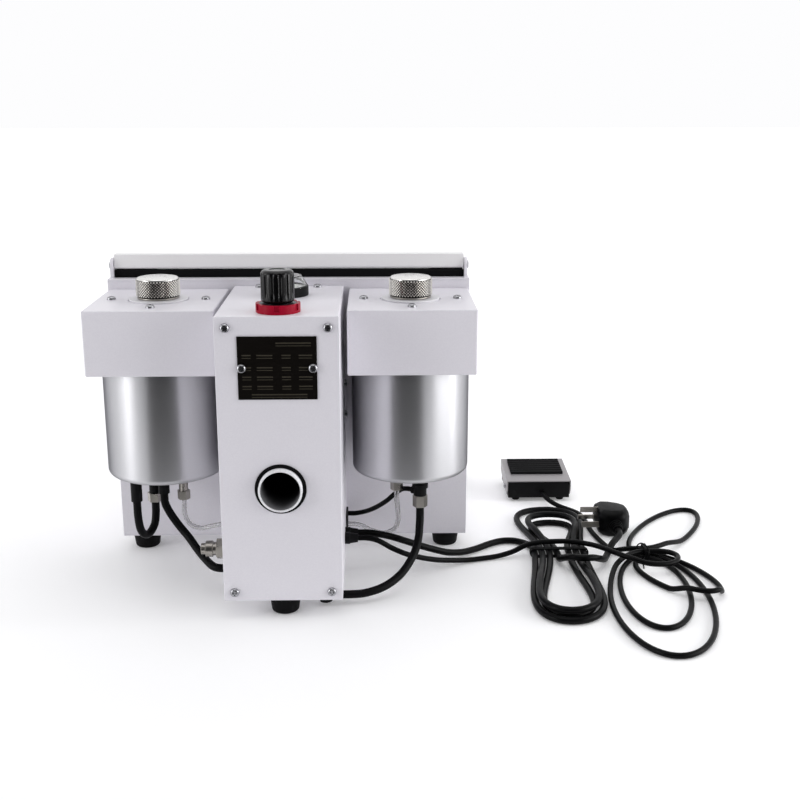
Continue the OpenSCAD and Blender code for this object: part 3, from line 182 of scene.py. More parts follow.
# Anodised aluminium, brushed round on a lathe: soft upright bands of what stands round the tank
tank_metal = grained(
    "anodised_aluminium_brushed", "satin_aluminium", size=6, colours=("#C6C6C9", "#CECED1"),
    gloss=(0.38, 0.41), depth=0.001, stretch=(1, 1, 12), metallic=1.0, anisotropic=0.74,
    specular_tint=linear("#6A6A6E"),
)
# Nickel-plated brass, bright: a warm grey metal with a faint cloudiness from handling
nickel = grained(
    "nickel_plated_brass", "nickel", size=9, colours=("#9C9892", "#A9A59F"),
    gloss=(0.26, 0.34), depth=0.002, metallic=1.0,
)
# Nickel on cut knurls, lighter than the plain nickel as a painted highlight: bright points with sharp glints
knurl_highlight_metal = grained(
    "nickel_on_knurls_painted_highlight", "nickel", size=2, colours=("#D6D3CE", "#E4E1DC"),
    gloss=(0.12, 0.2), depth=0.002, metallic=1.0,
)
# Grooves between knurls: nickel darkened as painted shade in the grooves, dull
groove_shade_metal = grained(
    "knurl_grooves_painted_shade", "nickel", size=2, colours=("#12100E", "#1C1A17"),
    gloss=(0.45, 0.6), depth=0.002, metallic=0.6,
)
# Nickel on a face cut in the lathe: the lightest of the metals, with a soft even mirror
faced_metal = grained(
    "nickel_on_turned_face", "nickel", size=7, colours=("#E2E0DE", "#E9E8E6"),
    gloss=(0.24, 0.32), depth=0.002, metallic=1.0,
)
# Inside of the extraction pipe: plastic with painted shade, grey at the mouth and black farther in, quite
# dull
bore_shade = grained(
    "plastic_bore_painted_shade", "white_plastic", size=4, colours=("#6C6C6F", "#7A7A7D"),
    gloss=(0.75, 0.9), depth=0.02, specular_ior_level=0.15,
)
# Zinc-plated steel of screws, pins and springs: a cool grey with a mottled gloss
zinc = grained(
    "zinc_plated_steel", "stainless", size=1.2, colours=("#9C9CA0", "#B7B7BB"),
    gloss=(0.22, 0.38), depth=0.01, metallic=1.0,
)
# Stainless sheet, brushed along X: long fine lines in the gloss
stainless = grained(
    "brushed_stainless_steel", "stainless", size=1.0, colours=("#B4B4B6", "#C6C6C8"),
    gloss=(0.26, 0.42), depth=0.01, stretch=(0.05, 1, 1), metallic=1.0,
)
# Blackened steel with a thin oil film: dark grey, half gloss
black_steel = grained(
    "blackened_steel", "dark_steel", size=2, colours=("#3A3A3D", "#4C4C50"),
    gloss=(0.3, 0.45), depth=0.01, metallic=1.0,
)
# Moulded black rubber: dull, with a fine pitted skin and greyer worn patches
rubber = grained(
    "moulded_rubber_black", "black_rubber", size=0.9, colours=("#0A0A0B", "#121214"),
    gloss=(0.5, 0.7), depth=0.04, specular_ior_level=0.08,
)
# Soft PVC cord jacket: smooth black with a half-gloss highlight and slight waviness
jacket = grained(
    "vinyl_cord_jacket_black", "black_rubber", size=5, colours=("#060607", "#0B0B0C"),
    gloss=(0.3, 0.4), depth=0.05, specular_ior_level=0.08,
)
# Extruded air hose: black rubber with a fine dull skin
hose_rubber = grained(
    "extruded_rubber_hose_black", "black_rubber", size=1.6, colours=("#080809", "#0E0E10"),
    gloss=(0.36, 0.5), depth=0.03, specular_ior_level=0.08,
)
# Clear PVC hose: see-through, with a faint milky cast in its wall
clear_hose = grained(
    "clear_vinyl_hose", "clear_hose", size=3, colours=("#E6E6E6", "#F0F0F0"),
    gloss=(0.16, 0.24), depth=0.004, transmission_weight=1.0, IOR=1.5,
)
# Moulded acetal, dyed crimson: satin gloss with a slightly deeper tone in patches
crimson = grained(
    "moulded_acetal_red", "red_metal", size=5, colours=("#980625", "#A80A2D"),
    gloss=(0.3, 0.4), depth=0.02, specular_ior_level=0.12,
)
# Moulded phenolic knob, polished: deep black with sharp highlights
knob_black = grained(
    "polished_phenolic_black", "gloss_black", size=4, colours=("#060607", "#0A0A0B"),
    gloss=(0.16, 0.24), depth=0.01, specular_ior_level=0.3,
)
# ABS, moulded with a fine spark-eroded texture: black and low gloss
black_plastic = grained(
    "moulded_abs_black", "black_plastic", size=0.7, colours=("#0C0C0D", "#141416"),
    gloss=(0.4, 0.55), depth=0.04, specular_ior_level=0.1,
)
# Anodised aluminium plate, a warm black: satin, brushed along its length
plate_finish = grained(
    "black_anodised_plate", "plate_black", size=0.8, colours=("#0D0B09", "#151210"),
    gloss=(0.34, 0.46), depth=0.01, stretch=(0.06, 1, 1), specular_ior_level=0.06,
)
# Blank bars etched in the plate: bare aluminium under a thin gold lacquer, faint from afar
rule_finish = grained(
    "lacquered_etch_gold", "plate_black", size=1.0, colours=("#403C33", "#524D41"),
    gloss=(0.4, 0.5), depth=0.005, metallic=0.5,
)
# PVC pipe, extruded: white with a soft gloss and faint lines along it
pipe_white = grained(
    "extruded_pvc_white", "white_plastic", size=2, colours=("#E4E4E8", "#EEEEF1"),
    gloss=(0.22, 0.34), depth=0.02, stretch=(1, 0.06, 1), IOR=1.53,
)
# Float glass: clear with the slightest green, polished on both faces
glass = grained(
    "float_glass", "window_glass", size=40, colours=("#F1F7F3", "#F6FAF8"),
    gloss=(0.0, 0.02), depth=0.0, transmission_weight=1.0, IOR=1.52,
)
# Moulded acrylic lens: water clear with soft moulded edges
lens_clear = grained(
    "moulded_acrylic_clear", "window_glass", size=12, colours=("#F6F7F8", "#FCFCFD"),
    gloss=(0.0, 0.03), depth=0.0, transmission_weight=1.0, IOR=1.49,
)
# Opal acrylic lamp cover: milky white with a soft gloss
lamp_white = grained(
    "opal_acrylic_lamp_cover", "white_plastic", size=3, colours=("#F0F0EC", "#F7F7F4"),
    gloss=(0.3, 0.4), depth=0.01, IOR=1.49,
)
# Painted dial sheet: matt white
dial_finish = grained(
    "painted_dial_white", "white_plastic", size=2, colours=("#EDEDEA", "#F3F3F0"),
    gloss=(0.45, 0.55), depth=0.005,
)
# Screen-printed black ink on the dial, and the same black on its needle: matt
ink = grained(
    "screen_print_black", "black_plastic", size=0.5, colours=("#121214", "#1B1B1D"),
    gloss=(0.5, 0.6), depth=0.002,
)
# Screen-printed white ink on the switches: matt
white_ink = grained(
    "screen_print_white", "white_plastic", size=0.5, colours=("#D8D8D6", "#E6E6E4"),
    gloss=(0.5, 0.6), depth=0.002,
)
# Painted steel pedal cover: warm grey hammer finish, half gloss
pedal_grey = grained(
    "painted_steel_grey", "grey_metal", size=1.8, colours=("#8D8A8C", "#A4A1A3"),
    gloss=(0.32, 0.46), depth=0.06, metallic=0.4,
)
# Epoxy-sealed valve coils and bodies: dark green-grey, dull
valve_finish = grained(
    "epoxy_sealed_grey", "dark_steel", size=2, colours=("#2E3A3A", "#3B4848"),
    gloss=(0.45, 0.6), depth=0.03,
)
bore_mouth = -27.5
shade_reach = 45


def brush_round(material):
    """Sets a metal's brush marks round an upright axis, so that its gloss draws out into bands."""
    tree = material.node_tree
    upright = add(tree, "ShaderNodeCombineXYZ", {2: 1.0}).outputs[0]
    tree.links.new(upright, tree.nodes["Principled BSDF"].inputs["Tangent"])


def blacken_bore(material):
    """Darkens a bore from its mouth inwards, as painted shade."""
    tree = material.node_tree
    colour = tree.nodes["Principled BSDF"].inputs["Base Color"]
    clean = colour.links[0].from_socket
    # Painted shade: the bore turns black from its mouth inwards
    shade_share = ranged(tree, along_y(tree, "Object"), bore_mouth * mm, (bore_mouth + shade_reach) * mm)
    tree.links.new(mixed(tree, shade_share, clean, linear("#0B0B0C")), colour)


brush_round(tank_metal)
blacken_bore(bore_shade)


# Making of pieces
def mesh_of(name, bm):
    """A working mesh turned into a plain one, and used up by it."""
    mesh = bpy.data.meshes.new(name)
    bm.to_mesh(mesh)
    bm.free()
    return mesh


def result_of(thing):
    """The mesh that an object shows after its modifiers."""
    bpy.context.view_layer.update()
    seen = thing.evaluated_get(bpy.context.evaluated_depsgraph_get())
    return bpy.data.meshes.new_from_object(seen)


def shaded(name, mesh, material, body, sharp=40):
    """Puts a mesh into the scene as a piece on a body, smooth up to an angle in degrees."""
    mesh.materials.clear()
    mesh.materials.append(material)
    mesh.shade_smooth()
    mesh.set_sharp_from_angle(angle=math.radians(sharp))
    piece = placed(name, mesh)
    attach(piece, body)
    return piece


def made(name, bm, material, body="cabinet", sharp=40, rounded=False):
    """Turns a working mesh into a piece, with its faces outwards and clean normals beside roundings."""
    bmesh.ops.recalc_face_normals(bm, faces=bm.faces[:])
    normals = corner_normals(bm) if rounded else []
    mesh = mesh_of(name, bm)
    piece = shaded(name, mesh, material, body, sharp)
    if rounded:
        mesh.normals_split_custom_set(normals)
    return piece


def islands(bm):
    """The separate solids of a mesh, as sets of vertices."""
    left = set(bm.verts)
    while left:
        front = [left.pop()]
        group = set(front)
        while front:
            for edge in front.pop().link_edges:
                for vert in edge.verts:
                    if vert in left:
                        left.discard(vert)
                        group.add(vert)
                        front.append(vert)
        yield group


def outer_bends(bm):
    """The edges along the outer corners of each solid's own box, where the sheet was bent."""
    near = 0.00002
    found = set()
    for group in islands(bm):
        low = [min(v.co[i] for v in group) for i in range(3)]
        high = [max(v.co[i] for v in group) for i in range(3)]
        for vert in group:
            for edge in vert.link_edges:
                sides = 0
                for i in range(3):
                    for limit in (low[i], high[i]):
                        sides += all(abs(v.co[i] - limit) < near for v in edge.verts)
                if sides == 2:
                    found.add(edge)
    return list(found)


def sharp_edges(bm, angle=28):
    """The edges between faces that turn by more than an angle in degrees."""
    limit = math.radians(angle)
    return [e for e in bm.edges if len(e.link_faces) == 2 and e.calc_face_angle(0) > limit]


def round_edges(bm, edges, radius, segments):
    """Rounds edges of a mesh by a radius in millimetres, and marks the faces of the roundings."""
    rounding = bm.faces.layers.int.verify()
    fresh = bmesh.ops.bevel(
        bm, geom=edges, offset=radius * mm, offset_type="OFFSET", segments=segments, profile=0.5,
        affect="EDGES", clamp_overlap=True,
    )["faces"]
    for face in fresh:
        face[rounding] = 1


def corner_normals(bm):
    """One normal per face corner: plain faces stay flat, and roundings run from one face to the next."""
    rounding = bm.faces.layers.int.verify()
    near = 0.6
    bm.normal_update()
    normals = []
    for face in bm.faces:
        for loop in face.loops:
            close = [f for f in loop.vert.link_faces if f.normal.dot(face.normal) > near]
            plain = [f for f in close if not f[rounding]]
            total = sum((f.normal * f.calc_area() for f in plain or close), Vector())
            normals.append(total.normalized() if total.length else face.normal.copy())
    return normals


def dressed(node, material, edge=0.3, bend=0.0):
    """A copy of a CAD node with its bends and edges rounded, which stands for the node."""
    bm = bmesh.new()
    bm.from_mesh(frame["nodes"][node].data)
    bmesh.ops.remove_doubles(bm, verts=bm.verts[:], dist=0.005 * mm)
    bmesh.ops.dissolve_limit(bm, angle_limit=math.radians(0.6), verts=bm.verts[:], edges=bm.edges[:])
    if bend:
        round_edges(bm, outer_bends(bm), bend, 4)
    if edge:
        round_edges(bm, sharp_edges(bm), edge, 2)
    piece = made(node + "_dressed", bm, material, frame["nodes"][node]["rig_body"], 50, rounded=True)
    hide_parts(node)
    return piece


def turned(bm, profile, place, steps=96, tilt=None, closed=False, groove=None):
    """Adds a lathe-turned shape: radius and height pairs in millimetres about an axis at a place.

    A groove is a rule that says by how much the radius draws in at a turn and a height.
    """
    tilt = tilt or Matrix.Identity(3)
    rows = []
    for radius, height in profile:
        row = []
        for k in range(steps if radius else 1):
            turn = 2 * math.pi * k / steps
            reach = radius - groove(turn, height) if groove and radius else radius
            spot = Vector((reach * math.cos(turn), reach * math.sin(turn), height))
            row.append(bm.verts.new((Vector(place) + tilt @ spot) * mm))
        rows.append(row)
    pairs = list(zip(rows, rows[1:]))
    if closed:
        pairs.append((rows[-1], rows[0]))
    for low, high in pairs:
        for k in range(steps):
            after = (k + 1) % steps
            ring = [low[k % len(low)], low[after % len(low)], high[after % len(high)], high[k % len(high)]]
            bm.faces.new(list(dict.fromkeys(ring)))


def arc(middle, radius, start, end, steps=6):
    """Points of a rounded corner in a profile: middle and radius in millimetres, angles in degrees."""
    points = []
    for i in range(steps + 1):
        angle = math.radians(start + (end - start) * i / steps)
        points.append((middle[0] + radius * math.cos(angle), middle[1] + radius * math.sin(angle)))
    return points


def boxed(bm, low, high):
    """Adds a box between two corners in millimetres."""
    low, high = Vector(low), Vector(high)
    grown = bmesh.ops.create_cube(bm, size=1.0)["verts"]
    for vert in grown:
        for i in range(3):
            vert.co[i] = ((low[i] + high[i]) / 2 + vert.co[i] * (high[i] - low[i])) * mm
    return grown


towards_front = Matrix.Rotation(math.radians(-90), 3, "X")


def bridged(bm, low, high):
    """Adds a band of faces between two closed rows of vertices."""
    for k in range(len(low)):
        bm.faces.new((low[k], low[k - 1], high[k - 1], high[k]))


# Lines of the cords and hoses, by the same points and rules as the part's source
def between(a, b, c, d, t):
    """A point on the smooth line from b to c, with a before them and d after them."""
    return 0.5 * (
        2 * b + (c - a) * t + (2 * a - 5 * b + 4 * c - d) * t * t + (3 * b - a - 3 * c + d) * t ** 3
    )


def smooth_line(route, steps=6):
    """A smooth line through a route's points, straight in its first and last steps."""
    points = [Vector(p) for p in route]
    last = len(points) - 2
    line = []
    for i in range(last + 1):
        for k in range(steps):
            t = k / steps
            if i in (0, last):
                line.append(points[i].lerp(points[i + 1], t))
            else:
                line.append(between(*points[i - 1:i + 3], t))
    line.append(points[-1])
    return line


def ease(t):
    """Rises smoothly from 0 to 1."""
    t = max(0, min(1, t))
    return t * t * (3 - 2 * t)


def joined(*lines):
    """Several lines as one, without the points where they meet being repeated."""
    whole = []
    for line in lines:
        for point in line:
            if not whole or (point - whole[-1]).length > 0.05:
                whole.append(point)
    return whole


def ring_frames(line):
    """The heading and the flank of a tube at each point of its line."""
    headings = []
    for i in range(len(line)):
        headings.append((line[min(i + 1, len(line) - 1)] - line[max(i - 1, 0)]).normalized())
    side = Vector((0, 0, 1)) if abs(headings[0].z) < 0.9 else Vector((1, 0, 0))
    flanks = []
    for heading in headings:
        side = (side - side.dot(heading) * heading).normalized()
        flanks.append(side)
    return headings, flanks


def swept(bm, line, radius, sides=16, bore=0.0):
    """Adds a tube along a line in millimetres, hollow where a bore is given."""
    headings, flanks = ring_frames(line)
    walls = []
    for wall in (radius, bore) if bore else (radius,):
        rows = []
        for point, heading, flank in zip(line, headings, flanks):
            across = heading.cross(flank)
            row = []
            for k in range(sides):
                turn = 2 * math.pi * k / sides
                spot = point + wall * (math.cos(turn) * flank + math.sin(turn) * across)
                row.append(bm.verts.new(spot * mm))
            rows.append(row)
        walls.append(rows)
    for rows in walls:
        for low, high in zip(rows, rows[1:]):
            bridged(bm, low, high)
    for end in (0, -1):
        if bore:
            bridged(bm, walls[0][end], walls[1][end])
        else:
            bm.faces.new(walls[0][end])


# Mains cord: from its gland over the hank to the plug
mains_d = 7
hank_at = (281, 122)
hank_turns = 3
hank_inner = 4.2
hank_step = 7.9
hank_front_len = (150, 155, 161)
hank_front_wide = (56, 62, 68)
hank_back_len = (90, 96, 132)
hank_back_wide = (54, 58, 77)
hank_lean = -13
hank_pile = 7.7
tie_lift = 1.5
floor_gap = 0.2
stub = 7
hank_z = mains_d / 2 + tie_lift
hank_in = (hank_at[0] - hank_inner, hank_at[1] - stub, hank_z)
hank_out = (hank_at[0] - hank_inner - hank_step * hank_turns, hank_at[1] + stub, hank_z)
mains_lead = [
    (68, 86, 43), (76, 86, 43), (88, 86, 41.5), (101, 89, 37.5), (117, 92, 31), (133, 97, 23.5),
    (149, 104, 16), (162, 112, 10), (178, 124, 5.5), (194, 138, 3.7), (208, 150, 3.7), (221, 158, 3.7),
    (234, 159, 3.7), (244, 153, 3.8), (250.5, 143, 4.4), (253.1, 135, 5), hank_out,
]
mains_tail = [
    hank_in, (276.8, 108, 5), (276.9, 102, 6.2), (277.6, 96, 8.9), (280.5, 88.5, 13), (286.5, 81.5, 16.3),
    (297, 77, 17.2), (308, 80, 16), (316, 88, 11.5), (322, 98, 6.8), (326, 108, 5), (331, 119, 7.5),
    (337, 130, 11.4), (342, 138, 12.4), (347, 146, 13.6), (349, 153, 14), (349, 160, 14),
]


def hank_point(turn, back, phi):
    """A point of the hank: its turn, the half towards the front or back, and the angle along that half."""
    angle = math.radians(phi)
    waist = hank_inner + hank_step * (turn + (0 if back else 0.5) + phi / 360)
    wide = hank_back_wide[turn] if back else hank_front_wide[turn]
    long = hank_back_len[turn] if back else hank_front_len[turn]
    side = -1 if back else 1
    out = (waist + (wide - waist) * math.sin(angle) ** 2) * math.cos(angle)
    pile = hank_pile * min(1, 2 * math.sin(angle)) if turn == 1 else 0
    lean = 0 if back else hank_lean
    return Vector((
        hank_at[0] + side * out + lean * math.sin(angle),
        hank_at[1] - side * long * math.sin(angle),
        mains_d / 2 + floor_gap + pile + (tie_lift - floor_gap) * math.cos(angle) ** 8,
    ))


def hank_line(steps=48):
    """The line of the hank's turns from its inner end to its outer end."""
    line = [Vector(hank_in)]
    for turn in range(hank_turns):
        for back in (True, False):
            line += [hank_point(turn, back, 180 * i / steps) for i in range(steps)]
    line.append(Vector((hank_out[0], hank_at[1], hank_z)))
    line.append(Vector(hank_out))
    return line


# Pedal cord: from its gland through the tied loops to the pedal
pedal_cord_d = 5.5
coil_at = (368, 114)
coil_side = 8
coil_up = 6
coil_z = pedal_cord_d / 2 + tie_lift
coil_loops = ((48, 110, -9, -1), (33, 82, -9, -1), (29, 52, 21, -1), (31, 66, 38.5, 1))
coil_passes = (
    (-coil_side / 2, coil_up), (0, 0), (-coil_side, 0), (coil_side, 0), (coil_side / 2, coil_up),
)
coil_down = ((44, 82), (4, 44), (4, 44), (4, 44))
coil_climb = ((4, 44), (4, 44), (4, 44), (34, 70))
cross_rise = (0, 0, 7, 0)
cross_from = (118, 146)
cross_to = (194, 224)
coil_start = (coil_at[0] + stub, coil_at[1] - coil_side / 2, coil_z + coil_up)
coil_end = (coil_at[0] - stub, coil_at[1] + coil_side / 2, coil_z + coil_up)
pedal_lead = [
    (68, 72, 43), (75, 72, 43), (87, 72, 40.5), (102, 74, 31), (117, 77, 23), (132, 82, 17), (148, 89, 11.5),
    (164, 98, 7), (180, 106, 3.8), (197, 112, 3), (214, 117, 3.4), (230, 121, 6.6), (244, 124, 12.4),
    (257, 126, 14.6), (272, 128, 14.8), (288, 128, 14.8), (302, 124, 14.8), (314, 115, 15.6),
    (324, 102, 16.6), (334, 88, 17), (346, 78, 16), (361, 72, 13), (377, 72.6, 11.4), (389, 77.5, 11),
    (396, 87, 11), (397, 97, 11), (391.5, 106, 10.6), (382, 110, 10.25), coil_start,
]
pedal_tail = [
    coil_end, (354, 118, 10.25), (346, 120.4, 8.4), (339, 127, 4.6), (335, 137, 3), (331, 151, 3),
    (327.5, 168, 3), (325, 186, 3), (324, 205, 3), (323.8, 217, 3), (322.8, 231, 3), (319.5, 243.5, 3),
    (313, 253.5, 3), (305, 261, 3.6), (297, 267, 5.6), (290.2, 272.8, 8.6), (286.2, 279.2, 11.2),
    (285, 286, 12), (285, 292, 12),
]


def stage_of(angle, limits):
    """How far an angle has come between two limits, eased."""
    return ease((angle - limits[0]) / (limits[1] - limits[0]))


def coil_point(k, angle):
    """A point of the tied loops: the loop and the angle along it, in degrees."""
    half_wide, half_long, lean, towards = coil_loops[k]
    start, end = coil_passes[k], coil_passes[k + 1]
    low = 1 - stage_of(angle, coil_down[k])
    high = 1 - stage_of(360 - angle, coil_climb[k])
    rise = stage_of(angle, cross_from) - stage_of(angle, cross_to)
    turn = math.radians(angle)
    return Vector((
        coil_at[0] - half_wide * math.sin(turn) + lean * (1 - math.cos(turn)),
        coil_at[1] + start[0] + (end[0] - start[0]) * ease(angle / 360)
        + towards * half_long * (1 - math.cos(turn)),
        pedal_cord_d / 2 + floor_gap + low * (tie_lift - floor_gap + start[1])
        + high * (tie_lift - floor_gap + end[1]) + cross_rise[k] * rise,
    ))


def coil_line(steps=72):
    """The line of the tied loops from the first pass through the tie to the last."""
    line = [Vector(coil_start)]
    for k in range(len(coil_loops)):
        line += [coil_point(k, 360 * i / steps) for i in range(steps)]
    line.append(Vector((coil_at[0], coil_end[1], coil_end[2])))
    line.append(Vector(coil_end))
    return line


# Hoses between the tanks and the column, and inside the cabinet
left_tank = (-120.5, 86.25)
right_tank = (120.5, 86.25)
hose_d = 8
thin_d = 5
loop_hose = [
    (-150, 72.25, 84), (-150, 72.25, 72), (-149.5, 72.5, 62), (-148.5, 74.5, 53), (-146.5, 79, 46.5),
    (-143.5, 85, 44), (-140.5, 91, 46.5), (-138, 96, 53), (-137, 98.25, 65), (-137, 98.25, 75),
]
feed_hose = [
    (-125, 84.25, 88), (-125, 84.25, 79), (-121, 83, 69), (-112, 80, 56), (-101, 73, 45), (-91, 60, 37.5),
    (-82, 47, 33), (-74.5, 36, 30.8), (-69, 30.6, 30.2), (-63, 29, 30), (-55, 29, 30),
]
left_clear_hose = [
    (-105.5, 84.25, 82), (-105.5, 84.25, 74), (-105, 84, 64), (-100, 83, 55), (-89, 80, 52), (-76, 76, 56),
    (-61, 72, 60), (-55, 72, 60),
]
right_clear_hose = [
    (107, 84.25, 90), (107, 84.25, 80), (108.4, 84.8, 66), (108.5, 87, 56), (105.5, 92, 45.5),
    (97.5, 99, 38), (88.5, 105, 36), (79.5, 111, 37), (72, 116.5, 39), (64, 119.5, 40), (57, 119.5, 40),
]
tee_at = Vector((130.5, 84.25, 88))
tee_side = Vector((-math.cos(math.radians(30)), math.sin(math.radians(30)), 0))
thin_hose = [
    tee_at + 9 * tee_side, tee_at + 14 * tee_side, (112.5, 94.5, 86.4), (105.5, 97.6, 80.5),
    (97.5, 102.5, 71.5), (88.5, 112, 62), (80, 122.5, 54), (72.5, 130, 49), (64, 133, 46.5), (57, 133, 46.5),
]
thick_hose = [
    (130.5, 84.25, 72), (130.5, 84.25, 63), (130, 80, 53), (128, 70, 40), (122, 55, 29), (110, 36, 19),
    (94, 21, 13), (76, 12, 10.5), (60, 10, 10), (47, 10, 10),
]
pen_hose = [
    (128, 161.5, 242), (128, 161.5, 250), (125, 163.5, 262), (116, 165.5, 271), (104, 166.5, 266),
    (98, 166.5, 250), (96, 165.5, 225), (95, 164.5, 195), (94, 164.5, 165), (92, 163.5, 135),
    (90, 162.5, 110), (89, 158.5, 98), (89, 153.5, 94), (89, 147.5, 94),
]


def line_length(line):
    """The length of a line in metres."""
    return sum((b - a).length for a, b in zip(line, line[1:])) * mm


def cord_piece(name, line, diameter, material, bore=0.0, sides=16):
    """A cord or hose along a line in millimetres."""
    bm = bmesh.new()
    swept(bm, line, diameter / 2, sides, bore / 2)
    piece = made(name, bm, material)
    line_length(line)
    return piece


def hose_piece(name, route, diameter, material, bore=0.0):
    """A hose from one fitting of the machine to another."""
    return cord_piece(name, smooth_line(route), diameter, material, bore)


def black_hose_set():
    """The black hoses under the tanks, which stand for the hose solids."""
    for name, route, diameter in (
        ("loop_hose", loop_hose, hose_d), ("feed_hose", feed_hose, hose_d),
        ("thick_hose", thick_hose, hose_d), ("thin_hose", thin_hose, thin_d),
    ):
        piece = hose_piece(name, route, diameter, hose_rubber)
        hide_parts("black_hoses")
    for side, name in ((1, "right_pen_hose"), (-1, "left_pen_hose")):
        route = [(side * x, y, z) for x, y, z in pen_hose]
        piece = hose_piece(name, route, thin_d, hose_rubber)
        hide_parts("pen_hoses")


def clear_hose_set():
    """The clear hoses, with a bore so that both walls show."""
    for name, route in (("left_clear_hose", left_clear_hose), ("right_clear_hose", right_clear_hose)):
        piece = hose_piece(name, route, thin_d, clear_hose, bore=2.8)
        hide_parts("clear_hoses")


# Mains plug
plug_low = (331, 172, 0)
plug_size = (36, 43, 30)
plug_exit = (349, 160, 14)


def plug_body():
    """The moulded plug: a crowned body with finger flats, turned on its side."""
    x0, y0, z0 = plug_low
    x1, y1, z1 = (a + b for a, b in zip(plug_low, plug_size))
    # Outline of the body seen from above, from the cord end round to the pin face
    outline = [
        (x0 + 2, y0 + 6), (x0, y0 + 14), (x0, y1 - 2), (x0 + 3, y1), (x0 + 14, y1 - 1), (x1 - 8, y1 - 8),
        (x1, y1 - 17), (x1 - 0.5, y0 + 13), (x1 - 6, y0 + 4), (x0 + 25, y0), (x0 + 10, y0),
    ]
    # Height of each layer and how far it draws in towards the middle
    layers = [(z0, 0.72), (z0 + 2.5, 0.9), (z0 + 8, 1.0), (z0 + 21, 1.0), (z1 - 4, 0.92), (z1, 0.7)]
    middle = Vector(((x0 + x1) / 2, (y0 + y1) / 2, 0))
    bm = bmesh.new()
    rows = []
    for height, share in layers:
        row = []
        for x, y in outline:
            spot = middle + (Vector((x, y, 0)) - middle) * share
            row.append(bm.verts.new(Vector((spot.x, spot.y, height)) * mm))
        rows.append(row)
    for low, high in zip(rows, rows[1:]):
        bridged(bm, low, high)
    bm.faces.new(rows[0])
    bm.faces.new(rows[-1])
    round_edges(bm, sharp_edges(bm, 20), 1.6, 3)
    piece = made("plug_body", bm, jacket, sharp=60, rounded=True)
    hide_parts("mains_plug")
    return piece


def plug_relief():
    """The ribbed strain relief between the cord and the plug."""
    ribs, start, pitch, narrow, widening, lip, groove = 4, 0.4, 3.2, 5.2, 0.75, 0.3, 1.1
    neck, neck_low, neck_top = 7.5, 13.4, 17
    profile = [(0, 0), (mains_d / 2 + 0.1, 0)]
    for i in range(ribs):
        low = start + i * pitch
        wide = narrow + i * widening
        profile += [(wide, low), (wide + lip, low + 0.4), (wide + lip, low + 1.8), (wide, low + 2.2)]
        profile += [(wide - groove, low + 2.4), (wide - groove, low + 3.0)]
    profile += [(neck, neck_low), (neck, neck_top), (0, neck_top)]
    bm = bmesh.new()
    turned(bm, profile, plug_exit, 40, towards_front)
    return made("plug_relief", bm, jacket, sharp=35)


def plug_pins():
    """Three flat pins, two of them slanted, with chamfered tips."""
    bm = bmesh.new()
    mid = Vector((plug_low[0], plug_low[1] + plug_size[1] / 2, plug_low[2] + plug_size[2] / 2 + 2))
    length, thick, wide = 18, 1.6, 6.3
    for across, up, slant in ((0, 9, 0), (12, -4, 25), (-12, -4, -25)):
        verts = boxed(bm, (-length, -thick / 2, -wide / 2), (2, thick / 2, wide / 2))
        tilt = Matrix.Rotation(math.radians(slant), 4, "X")
        place = Matrix.Translation((mid + Vector((0, across, up))) * mm)
        bmesh.ops.transform(bm, matrix=place @ tilt, verts=verts)
    round_edges(bm, sharp_edges(bm), 0.5, 2)
    return made("plug_pins", bm, nickel, rounded=True)


def coil_tie():
    """A thin twist tie wound round the pedal cord's passes, with its two ends twisted and curled."""
    half, low, high, corner, wraps, wire = 11.4, 0.7, 13.6, 3, 3, 0.7
    mid_x, mid_y = coil_at
    near, far = mid_y - half, mid_y + half
    level = (low + high) / 2
    turns = []
    for k in range(wraps):
        x = mid_x - 1.8 + 1.4 * k
        turns += [
            (x, near, level), (x, near + 0.4, high - corner), (x, near + corner, high),
            (x + 0.3, mid_y, high + 0.4), (x + 0.4, far - corner, high), (x + 0.6, far - 0.4, high - corner),
            (x + 0.7, far, level), (x + 0.8, far - 0.4, low + corner), (x + 0.9, far - corner, low),
            (x + 1.0, near + corner, low), (x + 1.2, near + 0.4, low + corner),
        ]
    x = mid_x + 2.4
    start = [(x - 9, mid_y - 27, 1.0), (x - 8, mid_y - 20, 2.2), (x - 6.5, mid_y - 14.5, 5.5)]
    end = [
        (x, near, 8), (x - 1, near + 2, 14.6), (x - 4, near + 4, 18.5), (x - 9, near + 3, 21),
        (x - 13, near + 1, 19.5), (x - 12, near, 16.8), (x - 6, near - 2, 17.6),
    ]
    bm = bmesh.new()
    swept(bm, smooth_line(start + turns + end, 8), wire, 8)
    return made("pedal_cord_tie", bm, jacket)


def hank_tie():
    """A soft strap round the waist of the mains hank, with its free end lapped over."""
    strap, wide, corner = 1.2, 6, 3.4
    clear = mains_d / 2 + 0.3
    low_x = hank_at[0] - hank_inner - hank_step * hank_turns - clear
    high_x = hank_at[0] + hank_inner + hank_step * (hank_turns - 0.5) + clear
    low_z, high_z = hank_z - clear, hank_z + clear
    bm = bmesh.new()
    inner = rounded_loop(low_x, high_x, low_z, high_z, corner)
    outer = rounded_loop(low_x - strap, high_x + strap, low_z - strap, high_z + strap, corner + strap)
    rows = []
    for y in (hank_at[1] - wide / 2, hank_at[1] + wide / 2):
        for loop in (outer, inner):
            rows.append([bm.verts.new(Vector((x, y, z)) * mm) for x, z in loop])
    rear_outer, rear_inner, far_outer, far_inner = rows
    for a, b in (
        (rear_outer, rear_inner), (rear_inner, far_inner), (far_inner, far_outer), (far_outer, rear_outer),
    ):
        bridged(bm, a, b)
    piece = made("mains_hank_tie", bm, rubber)
    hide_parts("cord_ties")
    return piece


def rounded_loop(low_x, high_x, low_z, high_z, radius):
    """A closed outline of a rounded rectangle, as pairs in millimetres."""
    corners = (
        (high_x - radius, low_z + radius, -90), (high_x - radius, high_z - radius, 0),
        (low_x + radius, high_z - radius, 90), (low_x + radius, low_z + radius, 180),
    )
    loop = []
    for x, z, start in corners:
        loop += arc((x, z), radius, start, start + 90, 5)
    return loop


